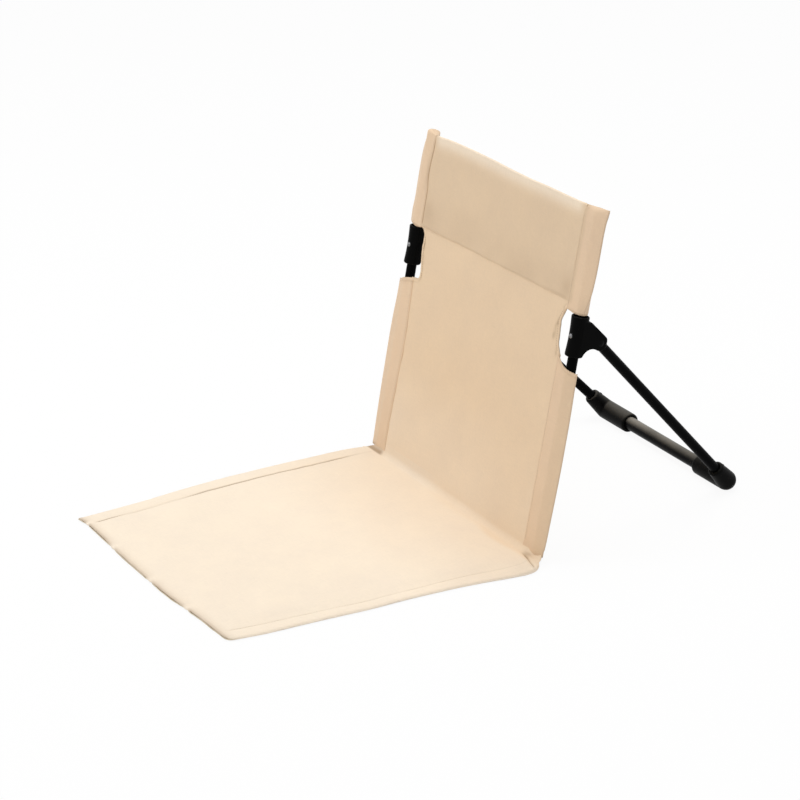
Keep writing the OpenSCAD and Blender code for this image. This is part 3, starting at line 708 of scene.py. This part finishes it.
def top_rows():
    """Points where the cloth is turned over at the back's top and runs down behind it."""
    x = across(SEAM_X, SEAM_X)
    n, top = back_n(x, TOP_S), top_line(x)
    rows = [from_back(x, n + TOP_FOLD * (1 - math.cos(a)), top + TOP_FOLD * math.sin(a))
            for a in np.radians((15, 35, 55, 75, 95, 120, 150, 180))]
    return rows + [from_back(x, n + 2 * TOP_FOLD, top - down) for down in (1.5, 3.5, 6.0, 8.0)]


def main_tones(grid, run):
    """How far each point takes the back's colour, a painted shade, and the double band's, painted for less
    light through two plies, and how near the seat's rear it is.
    """
    x, y, z = grid[..., 0], grid[..., 1] - MIDDLE, grid[..., 2]
    up = z * CL + y * SL
    line, top = band_line(x), top_line(x)
    ahead = curve(x, (-215, -4), (-139, -6), (-97, -7), (-43, -3), (8, 7), (46, 5.5), (72, 4), (113, 10.5),
                  (146, 8), (183, 4), (230, 4))
    ahead = ahead + 2.5 * ripple(x, run[:, None], 71, 46, 2)
    # Painted shade: where the cloth turns up, the seat's colour gives way to the back's darker one
    turn = smooth((y + ahead - TURN_Y - 3.5) / (11 - 6 * smooth(x, 20, 110)), -1, 1)
    turn = np.where(z > 22, 1.0, turn)
    # Painted shade: near its rear the seat takes a little of the back's colour
    rear = smooth(y, -220, -45) * (1 - turn)
    # Painted light: the back is paler low down, where light thrown up from the seat falls
    pale = (0.4 - 0.17 * smooth(x, 20, 150)) * (1 - smooth(up, 20, 170))
    # Painted highlight: along the top edge the cloth keeps the seat's paler colour
    kept = 1 - 0.8 * smooth(up, top - 25, top - 2) * smooth(np.abs(x), 180, 160)
    return (0.2 * rear + (1 - pale) * turn) * kept, smooth(up, line - 0.6, line + 0.6) * kept, rear


def main_cloth():
    """One cloth from the seat's front edge up to the top of the back."""
    rows = [seat_row(y) for y in FRONT_Y + EDGE_IN[:15]]
    rows += [seat_row(y) for y in steps((FRONT_Y + 23, 3.0), (-380, 5.0), (-50, 3.0), (-27, 1.0), (TURN_Y, 0))]
    rows += [turn_row(share) for share in np.linspace(0, 1, 17)[1:]]
    rows += [back_row(s) for s in steps((BACK_START + 0.8, 1.0), (22, 4.0), (240, 1.5), (245, 0.6),
                                        (250, 1.2), (315, 0.7), (324, 1.2), (331, 4.0), (432, 2.0),
                                        (443, 1.0), (TOP_S, 0))]
    rows += [(row, 0 * row[:, 0]) for row in top_rows()]
    grid, shade_and_soil = np.array([row for row, _ in rows]), np.array([spots for _, spots in rows])
    run = lengths(grid[:, len(EDGE_IN) + 32])
    flat = stacked(grid[..., 0], run[:, None], 0.0)
    tone, double, rear = main_tones(grid, run)
    # The seam value is painted shade and dirt, a little stronger towards the seat's rear
    made = cloth_sheet("seat_and_back_cloth", grid, 1.1, seat_back_cloth, flat, tone=tone, double=double,
                       seam=shade_and_soil + 0.08 * rear)
    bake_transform(made)
    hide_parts("back_panel", "crease_strip", "seat_top_cover")


main_cloth()


# Sleeves

# Columns of the front, and of the rear, of a sleeve, and x of its inner edge
RING = 30
SEAM_EDGE = 171.6
# Outer edges of the sleeves as (height, x), for the sitter's left and right
UPPER_OUTER = {
    True: ((320, 201.5), (326, 202.6), (336, 205.6), (347, 208.8), (368, 211.2), (409, 211.6),
           (429, 211.6), (441, 212.6), (450, 214.4), (455, 215.0)),
    False: ((320, 207.7), (337, 208.8), (348, 207.8), (391, 207.6), (415, 207), (430, 204.6),
            (438, 202.0), (445, 198.5), (452, 194.6), (456, 192.6)),
}
LOWER_OUTER = {
    True: ((4, 207.0), (10, 208.5), (14, 209.0), (57, 211.0), (142, 212.6), (200, 211.6), (236, 210.2),
           (262, 210.2)),
    False: ((4, 211), (14, 211.5), (57, 213), (142, 214), (169, 214), (193, 213.2), (213, 211.8),
            (240, 211.2), (262, 211)),
}
# Upper and lower ends of the lower sleeves, as heights over x
LOWER_TOP = {True: ((172, 176, 181, 187, 200, 214), (262.6, 260, 255.9, 251.9, 248.7, 247.6)),
             False: ((172, 184, 196.5, 203, 212), (252.5, 249.5, 245.9, 242.8, 240))}
LOWER_END = {True: ((172, 183, 199, 209), (1.5, -2.0, 0.5, 8.0)), False: ((172, 212), (3.0, 7.0))}


def hull(points):
    """Both halves of the outline round (x, n) points: the front, with the lower n, and the rear."""
    points = sorted(points)

    def half(run):
        out = []
        for p in run:
            while len(out) > 1 and ((out[-1][0] - out[-2][0]) * (p[1] - out[-2][1])
                                    - (out[-1][1] - out[-2][1]) * (p[0] - out[-2][0])) <= 0:
                out.pop()
            out.append(p)
        return out

    return np.array(half(points)), np.array(half(points[::-1])[::-1])


def circle_points(x, n, r):
    return [(x + r * math.cos(a), n + r * math.sin(a)) for a in np.linspace(0, 2 * math.pi, 41)[:-1]]


def sleeve_ring(s, outer, seed, lift, sag, seam=SEAM_EDGE, pole=8.3, seam_r=1.0, loose=1.0):
    """Cloth round the pole at one height: x and n over the front from the seam, then back behind the pole.

    lift is how far before the pole axes the seam lies, and sag how far the front sinks beside the pole.
    """
    edge_n, edge_r = -2.2, 1.5
    points = circle_points(POLE_X, 0, pole) + circle_points(outer - edge_r, edge_n, edge_r)
    points += circle_points(seam + seam_r, -lift + seam_r, seam_r)
    front, rear = hull(points)
    t = (1 - np.cos(np.linspace(0, math.pi, RING))) / 2
    x = front[0, 0] + (front[-1, 0] - front[0, 0]) * t
    free = np.sin(math.pi * t) ** 0.5 * loose
    off = 0.55 * ripple(s, x * 0.5, 81 + seed, 26, 2) + 0.35 * ripple(s, x, 83 + seed, 11, 2)
    n_front = np.interp(x, front[:, 0], front[:, 1])
    n_front = n_front + (sag * bell(x - 180.5, 3.6) - np.maximum(off, -0.3) * 0.8) * free
    n_rear = np.interp(x, rear[:, 0], rear[:, 1])
    n_rear = n_rear + np.maximum(0.6 * ripple(s, x * 0.5, 91 + seed, 30, 2), -0.3) * free
    return np.concatenate([x, x[::-1]]), np.concatenate([n_front, n_rear[::-1]])


def closing(n, middle, t):
    """Draws the front and the rear of a ring together until their cloths touch, as t goes from 0 to 1."""
    share = math.sqrt(max(1 - t ** 2.2, 0))
    return middle + np.sign(n - middle) * np.maximum(np.abs(n - middle) * share,
                                                     0.9 * min(1, 4 * share) + 0.02)


def sleeve(left, high, rows, seed, line):
    """Sleeve from rows of (height or heights, x, n, darkness), lowest first; line is how dark the painted
    shade along its seam is.
    """
    node = f"{'left' if left else 'right'}_{'upper' if high else 'lower'}_sleeve"
    grid = np.array([from_back(x, n, s) for s, x, n, _ in rows])
    if not left:
        grid[..., 0] *= -1
    around = lengths(grid[len(grid) // 2])
    height = np.array([np.mean(s) for s, _, _, _ in rows])
    dark = np.array([float(spots) for _, _, _, spots in rows])
    flat = stacked(around + 260 * (1 + seed), height[:, None], 0.0)
    x, up = np.broadcast_arrays(np.abs(grid[..., 0]), height[:, None])
    # Painted shade beside the back's band, where the doubled cloth lets less light through
    band = smooth(up, 324, 332) * smooth(x + 1.5 * ripple(up, x, 131, 14, 2), 183, 176)
    # Darker patches beside the seam of the left upper sleeve
    dark_patch = bell(x - 179.5, 3.2) * np.clip(0.2 + 1.1 * ripple(up, 0, 133, 30, 2), 0, 1) * (up > 330)
    # Painted shade widening the right upper sleeve's seam line where the seam bends out
    kink = 0.28 * bell(x - 178, 4.5) * bell(up - 396, 24)
    # Painted shade on the lower sleeves' outer flanks
    flank = 0.5 * smooth(x, 191, 197) * smooth(up, 252, 240)
    # The seam line is painted shade of the seam's step, strong on the right and faint on the left
    shade_and_soil = line * bell(x - x[:, :1], 1.2) + dark[:, None] + (0.2 * dark_patch + 0.05 * band if left else kink)
    made = cloth_sheet(f"{node}_cloth", grid, 0.8, sleeve_cloth, flat, side=-1 if left else 1, ring=True,
                       seam=np.clip(shade_and_soil, 0, 1), tone=np.clip((band + flank) * (0.3 + 0.7 * left), 0, 1))
    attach(made, "back_frame")
    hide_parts(node)
    node.split("_")[0] + "_pole"
    return grid


def upper_sleeve(left):
    """Sleeve above the hub: a turned lower hem, the tube round the pole, and the closed top."""
    seed, lift, sag = (1, 8.6, 0.0) if left else (2, 9.2, 0.7)
    side = 1 if left else -1
    top_s, top_reach, hem_sag = 444.5, 8, 0.7
    outline = UPPER_OUTER[left]
    rows = []
    # The hem rows round the hub's ring are painted dark: shade inside the ring
    for s, seam, r in ((319.6, 185.6, 7.6), (319.9, 184.0, 7.9), (320.5, 177.5, 8.1), (321.0, 173.2, 8.2),
                       (321.7, SEAM_EDGE, 8.3)):
        outer = float(curve(s, *outline)) - (322 - s) * 0.8
        rows.append((s, *sleeve_ring(s, outer, seed, lift, hem_sag, seam=seam, pole=r, loose=0.3), 0.3))
    for s in steps((323, 1.5), (332, 3.5), (441, 1.5), (top_s, 0)):
        seam = SEAM_EDGE + (0.5 if left else 1.3) * float(ripple(s, 0, 95 + seed, 24, 2))
        seam += 0 if left else 3.2 * float(bell(s - 397, 24))
        seam_r = 1.0 + 1.5 * float(smooth(s, 434, 443))
        rows.append((s, *sleeve_ring(s, float(curve(s, *outline)), seed, lift, sag, seam=seam,
                                     seam_r=seam_r), 0))
    for t in (0.25, 0.45, 0.6, 0.73, 0.84, 0.92, 0.97, 1.0):
        outer = float(curve(top_s + top_reach * t, *outline))
        x, n = sleeve_ring(top_s, outer, seed, lift, sag, seam_r=2.5, loose=1 - t)
        n = closing(n, np.interp(x, [SEAM_EDGE, 180, 193, outer], [-6.8, -5.8, -3.4, -2.2]), t)
        rows.append((top_s + (top_line(side * x) + TOP_FOLD - top_s) * t, x, n, 0))
    return sleeve(left, True, rows, seed, 0.08 if left else 0.5)


def lower_sleeve(left):
    """Sleeve below the hub: the closed lower end, the tube round the pole, and the slanting open top."""
    seed, lift, sag = (3, 8.5, 0.0) if left else (4, 8.7, 0.3)
    outline, (top_x, top_s), (end_x, end_s) = LOWER_OUTER[left], LOWER_TOP[left], LOWER_END[left]
    top = top_s[-1]
    rows = []
    # The closed lower end is painted dark: shade under it, more on the left
    for t in (1.0, 0.96, 0.88, 0.75, 0.6, 0.4, 0.2):
        outer = float(curve(8, *outline))
        x, n = sleeve_ring(6.0, outer, seed, lift, sag, loose=1 - t)
        n = closing(n, np.interp(x, [SEAM_EDGE, 180, 193, outer], [-7.6, -6.5, -4.0, -2.4]), t)
        rows.append((16 + (np.interp(x, end_x, end_s) - 16) * t, x, n, (0.75 if left else 0.45) * t ** 3))
    for s in steps((17.5, 2.0), (26, 4.0), (228, 2.0), (top, 0)):
        flare = 0.5 * float(smooth(s, top - 7, top))
        seam = SEAM_EDGE + 0.5 * float(ripple(s, 0, 97 + seed, 17, 2))
        if not left:
            seam = float(curve(s, (0, 171.6), (60, 171), (120, 168.5), (184, 167), (210, 169), (250, 171.4)))
            seam += 0.9 * float(ripple(s, 0, 99, 16, 2))
        x, n = sleeve_ring(s, float(curve(s, *outline)), seed, lift, sag, seam=seam, pole=8.3 + flare,
                           seam_r=1.0 + 0.3 * flare)
        slant = (np.interp(x, top_x, top_s) - top) * smooth(s, 215, top)
        low = np.interp(x[RING:], (172, 193, 208), (-6.5, -5.5, 0)) if left else 1.5
        slant[RING:] = np.minimum(slant[RING:], low * smooth(s, 215, top))
        below = top - s
        rows.append((s + slant, x, n, 0.3 * bell(below - 4.4, 0.8) + 0.25 * (below < 0.6)))
    return sleeve(left, False, rows, seed, 0.05 if left else 0.1)


sleeve_grids = {(left, high): (upper_sleeve(left) if high else lower_sleeve(left))
                for left in (True, False) for high in (True, False)}


# Rear ply, underside and foam

def rear_ply():
    """Second ply behind the upper part of the back, whose lower hem hangs free between the stitches."""
    rows = []
    foot = 325.4
    for s in steps((foot, 0.8), (328.6, 3.0), (441, 2.0), (446.4, 0)):
        x = across(SEAM_X - 1.2, SEAM_X - 1.2)
        up = raised(x, s) + (band_line(x) - BAND_S) * (1 - smooth(s, 326, 345))
        hang = 0.5 * bell(s - foot, 2.5) * (0.6 + ripple(x, 0, 101, 19, 2))
        rows.append(from_back(x, back_n(x, np.maximum(up, 330)) + 1.75 + hang, up))
    grid = np.array(rows)
    flat = stacked(grid[..., 0] + 700, grid[..., 2], 0.0)
    made = cloth_sheet("upper_rear_ply", grid, -0.9, band_cloth, flat)
    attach(made, "back_frame")
    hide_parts("top_band")


def underside():
    """Bottom cover, whose hem shows as a darker, broken line under the seat's front edge."""
    rows, pale = [], []
    inner = np.array([0, 0.25, 0.8, 1.6, 2.6, 4.0, 6.0, 10.0, 20.0])
    for y in np.concatenate([FRONT_Y + inner, steps((FRONT_Y + 30, 9.0), (TURN_Y - 4, 0))]):
        near, far = seat_span(y)
        x = across(near + 0.2, far + 0.2, inner, 61)
        side, front, both = seat_edges(x, y)
        # Painted light: paler along the sides, away from the front, against the shade they sit in
        pale.append(smooth(side, 15, 11) * smooth(front, 12, 45))
        hem = (1.2 + 0.6 * ripple(x, 0, 111, 17, 2) - 3.2 * front_gaps(x)) * smooth(both, 4.5, 0)
        ahead = front_bow(x, y) + hem * smooth(y, -420, FRONT_Y)
        rim = np.clip(1 - both / 2.2, 0, 1) ** 1.6
        z = 0.12 + 1.9 * rim * (1 + 0.25 * ripple(x + y, y, 113, 12, 2))
        rows.append(level_row(x, y - ahead, z))
    grid = np.array(rows)
    flat = stacked(grid[..., 0] + 1400, grid[..., 1], 0.0)
    made = cloth_sheet("seat_underside_cloth", grid, 1.0, under_cloth, flat, side=-1, tone=np.array(pale))
    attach(made, "seat")
    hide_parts("seat_bottom_cover")


def seat_foam():
    """Thin foam sheet between the covers, almost as far out as the hem's stitches."""
    rows, thick = [], []
    for y in steps((FRONT_Y + 16, 6.0), (-30, 0)):
        near = float(left_half(y) - hem_in(1, y)) - 2.5
        far = float(right_half(y) - hem_in(-1, y)) - 2.5
        x = (near - far) / 2 + (near + far) / 2 * np.linspace(1, -1, 71)
        top = np.minimum(seat_z(x, y), SEAT_TOP + 3.2 - 1.2 * smooth(y, -80, -30)) - 1.3
        rows.append(level_row(x, y - front_bow(x, y), top))
        thick.append(np.maximum(top - 1.3, 0.6))
    made = cloth_sheet("seat_foam_sheet", np.array(rows), np.array(thick), seat_foam_material)
    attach(made, "seat")
    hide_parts("seat_pad")


rear_ply()
underside()
seat_foam()


# Stitches

BACK_OUT = np.array([0, -CL, SL])
SEAT_OUT = np.array([0, 0, 1.0])


def facing(path, out):
    """A line of stitches whose outward direction is the same all along."""
    return path, np.tile(out, (len(path), 1))


def back_thread():
    """Stitches beside the sleeves' seams and along the band's lower edge."""
    lines = []
    for (_, high), grid in sleeve_grids.items():
        path = []
        for row in grid[5:-9] if high else grid[8:-1]:
            front = row[:RING]
            k = np.argsort(np.abs(front[:, 0]))
            at = np.abs(front[0, 0]) + 3.0
            path.append([np.interp(at, np.abs(front[k, 0]), front[k, i]) for i in range(3)])
        lines.append(facing(np.array(path) + BACK_OUT * 0.12, BACK_OUT))
    x = np.linspace(-170, 170, 240)
    s = band_line(x) + 2.2
    lines.append(facing(from_back(x, back_n(x, s) - 0.05, s), BACK_OUT))
    made = stitches("back_seam_thread", lines, pale_thread, width=0.45)
    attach(made, "back_frame")


def cut_out_thread():
    """Stitches along the hems of the cut-outs."""
    lines = []
    for sign, start in ((1, 264), (-1, 252)):
        points = []
        for s in np.linspace(start, 316, 80):
            xs = np.arange(back_half(s, sign > 0), 150, -0.05) * sign
            points.append((xs[np.argmax(cut_out(xs, s) > 4.2)], s))
        x, s = np.array(points).T
        lines.append(facing(from_back(x, back_n(x, s) - 0.1, s), BACK_OUT))
    made = stitches("cut_out_thread", lines, tan_thread, length=2.2, pitch=3.0)
    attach(made, "back_frame")


def seat_thread(name, sign, half, thread, width):
    """Stitches of one of the seat's side hems; sign is the side's."""
    y = np.linspace(FRONT_Y + 14, -36, 420)
    x = sign * (half(y) - hem_in(sign, y) + 0.25 * ripple(y, 0, 121, 30, 2))
    rear = smooth(y, -70, TURN_Y)
    z = seat_z(x, y) * (1 - rear) + (SEAT_TOP + 0.3) * rear
    path = level_row(x, y - front_bow(x, y), z + 0.12)
    made = stitches(name, [facing(path, SEAT_OUT)], thread, width=width)
    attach(made, "seat")


back_thread()
cut_out_thread()
# The left hem's thread is paler and thinner than the right's: a painted difference of light between the two
# sides of one thread
seat_thread("left_hem_thread", 1, left_half, seat_thread_pale, 0.5)
seat_thread("right_hem_thread", -1, right_half, tan_thread, 0.7)


# Moulded hubs and feet

# Pivot of the rear support and centre of the hollow under the hub's arm, as (behind the axes, height)
HUB_PIVOT = (30.0, 285.5)
HOLLOW = (20.4, 264.5)
HOLLOW_R = math.dist(HUB_PIVOT, HOLLOW) - 10.2


def remeshed_copy(node, voxel):
    """Copy of a node's object, with a mesh of small even faces."""
    made = new_object(f"{node}_moulding", nodes[node].data.copy())
    made.matrix_world = nodes[node].matrix_world
    remesh = made.modifiers.new("remesh", "REMESH")
    remesh.mode = "VOXEL"
    remesh.voxel_size = voxel * MM
    bpy.context.view_layer.update()
    mesh = bpy.data.meshes.new_from_object(made.evaluated_get(bpy.context.evaluated_depsgraph_get()))
    made.modifiers.clear()
    old, made.data = made.data, mesh
    bpy.data.meshes.remove(old)
    return made


def hollowed(points):
    """Points of a hub with the hollow under its arm cut closer to the pole."""
    n = (points[:, 1] - MIDDLE) * CL - points[:, 2] * SL
    s = (points[:, 1] - MIDDLE) * SL + points[:, 2] * CL
    gap = stacked(n, s) - HOLLOW
    far = np.maximum(np.linalg.norm(gap, axis=1), 1e-6)
    inside = (far < HOLLOW_R) & (n > 7.3) & (s < 280)
    dn, ds = (np.where(inside, HOLLOW_R / far - 1, 0)[:, None] * gap).T
    return points + stacked(0, dn * CL + ds * SL, ds * CL - dn * SL)


def relaxed(points, mesh, free, rounds):
    """Points drawn towards their neighbours, which runs edges together; free is how far each follows."""
    ends = np.empty(2 * len(mesh.edges), int)
    mesh.edges.foreach_get("vertices", ends)
    a, b = ends.reshape(-1, 2).T
    count = np.bincount(ends, minlength=len(points))[:, None]
    for _ in range(rounds):
        total = np.zeros_like(points)
        np.add.at(total, a, points[b])
        np.add.at(total, b, points[a])
        points = points + 0.55 * free[:, None] * (total / count - points)
    return points


def moulding(node, body, material, voxel, rounds, holes=()):
    """Hub or foot whose edges run together as a mould leaves them.

    holes are (point, axis, radius) and stay true. Only a hub has them, and a hollow under its arm.
    """
    made = remeshed_copy(node, voxel)
    mesh = made.data
    place = np.array(made.matrix_world)
    flat = np.empty(3 * len(mesh.vertices))
    mesh.vertices.foreach_get("co", flat)
    points = (flat.reshape(-1, 3) @ place[:3, :3].T + place[:3, 3]) / MM
    free = np.ones(len(points))
    for at, axis, radius in holes:
        axis = np.array(axis, float) / np.linalg.norm(axis)
        gap = points - np.array(at, float)
        off = np.linalg.norm(gap - np.outer(gap @ axis, axis), axis=1)
        free *= smooth(off, radius + 0.25, radius + 0.7)
    if holes:
        points = hollowed(points)
    points = relaxed(points, mesh, free, rounds)
    local = (points * MM - place[:3, 3]) @ np.linalg.inv(place[:3, :3]).T
    mesh.vertices.foreach_set("co", local.ravel())
    mesh.polygons.foreach_set("use_smooth", [True] * len(mesh.polygons))
    mesh.materials.clear()
    mesh.materials.append(material)
    mesh.update()
    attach(made, body)
    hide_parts(node)


pole_way = from_back(0, 0, 1) - from_back(0, 0, 0)
for name, x in (("left_hub", POLE_X), ("right_hub", -POLE_X)):
    bores = [(from_back(x, 0, 290), pole_way, 6.6), (from_back(x, *HUB_PIVOT), (1, 0, 0), 2.6)]
    moulding(name, "back_frame", black_plastic, 0.6, 6, bores)
for name in ("left_foot", "right_foot"):
    moulding(name, "rear_support", foot_plastic, 0.65, 14)


# Carried-over nodes

def finish_node(name, material):
    """Gives a CAD node's object a material."""
    slots = nodes[name].material_slots
    if not slots:
        nodes[name].data.materials.append(material)
    for slot in slots:
        slot.material = material


for side in ("left", "right"):
    finish_node(f"{side}_pole", black_paint)
    finish_node(f"{side}_leg", black_paint)
    for name in ("pole_top_cap", "pole_foot_cap", "leg_plug"):
        finish_node(f"{side}_{name}", black_plastic)
finish_node("crossbar", bar_paint)
finish_node("hub_rivets", rivet_steel)
finish_node("pivot_pins", rivet_black)
finish_node("foot_rivets", rivet_black)


# Stage, light and camera

# Half the floor's side and its depth under the object, in metres
FLOOR_HALF, FLOOR_Z = 12, -0.0004
# Share of the floor's own light where it is seen, which keeps the object's shadow
FLOOR_GLOW = 0.93
SKY_LIGHT = 0.54
CAMERA_PLACE = (3.1042, -1.86319, 1.6510)
CAMERA_TARGET = (0, -0.03608, 0.16236)


def pale_floor():
    """Pale floor that the camera sees near white, with the object's shadow kept."""
    m = Nodes(bpy.data.materials.new("floor_material"))
    m.feed(m.shader, {"Base Color": (0.98, 0.98, 0.98, 1), "Roughness": 0.9, "Specular IOR Level": 0.0})
    m.white_where_seen(m.shader.outputs[0], "ShaderNodeEmission", FLOOR_GLOW, "Material Output")
    mesh = bpy.data.meshes.new("floor")
    corners = [(FLOOR_HALF * x, FLOOR_HALF * y, FLOOR_Z) for x, y in ((-1, -1), (1, -1), (1, 1), (-1, 1))]
    mesh.from_pydata(corners, [], [(0, 1, 2, 3)])
    mesh.materials.append(m.owner)
    floor = new_object("floor", mesh)


def studio_world():
    """Even white light from all round, and a white background."""
    world = Nodes(bpy.data.worlds.new("studio"))
    bpy.context.scene.world = world.owner
    sky = world.tree.nodes["Background"]
    world.feed(sky, {"Color": (1, 1, 1, 1), "Strength": SKY_LIGHT})
    world.white_where_seen(sky.outputs[0], "ShaderNodeBackground", 1.0, "World Output")


def placed(name, data, place, target):
    """Object that stands at a place and looks at a target, in metres."""
    made = new_object(name, data)
    made.location = place
    made.rotation_mode = "QUATERNION"
    made.rotation_quaternion = (Vector(target) - made.location).to_track_quat("-Z", "Y")
    return made


def area_light(name, place, target, size, power):
    data = bpy.data.lights.new(name, "AREA")
    data.shape = "SQUARE"
    data.size = size
    data.energy = power
    placed(name, data, place, target)


def photo_camera():
    """Camera at the photograph's viewing angle."""
    data = bpy.data.cameras.new("camera")
    data.lens = 138.87
    data.sensor_width = 36.0
    data.clip_start = 0.05
    data.clip_end = 60
    bpy.context.scene.camera = placed("camera", data, CAMERA_PLACE, CAMERA_TARGET)


pale_floor()
studio_world()
area_light("front_light", (-1.1, -2.2, 1.9), (0, 0, 0.15), 1.2, 16.1)
area_light("top_light", (-0.3, 0.3, 2.8), (0, 0, 0.1), 1.5, 32.4)
photo_camera()
bpy.context.scene.view_settings.view_transform = "Standard"
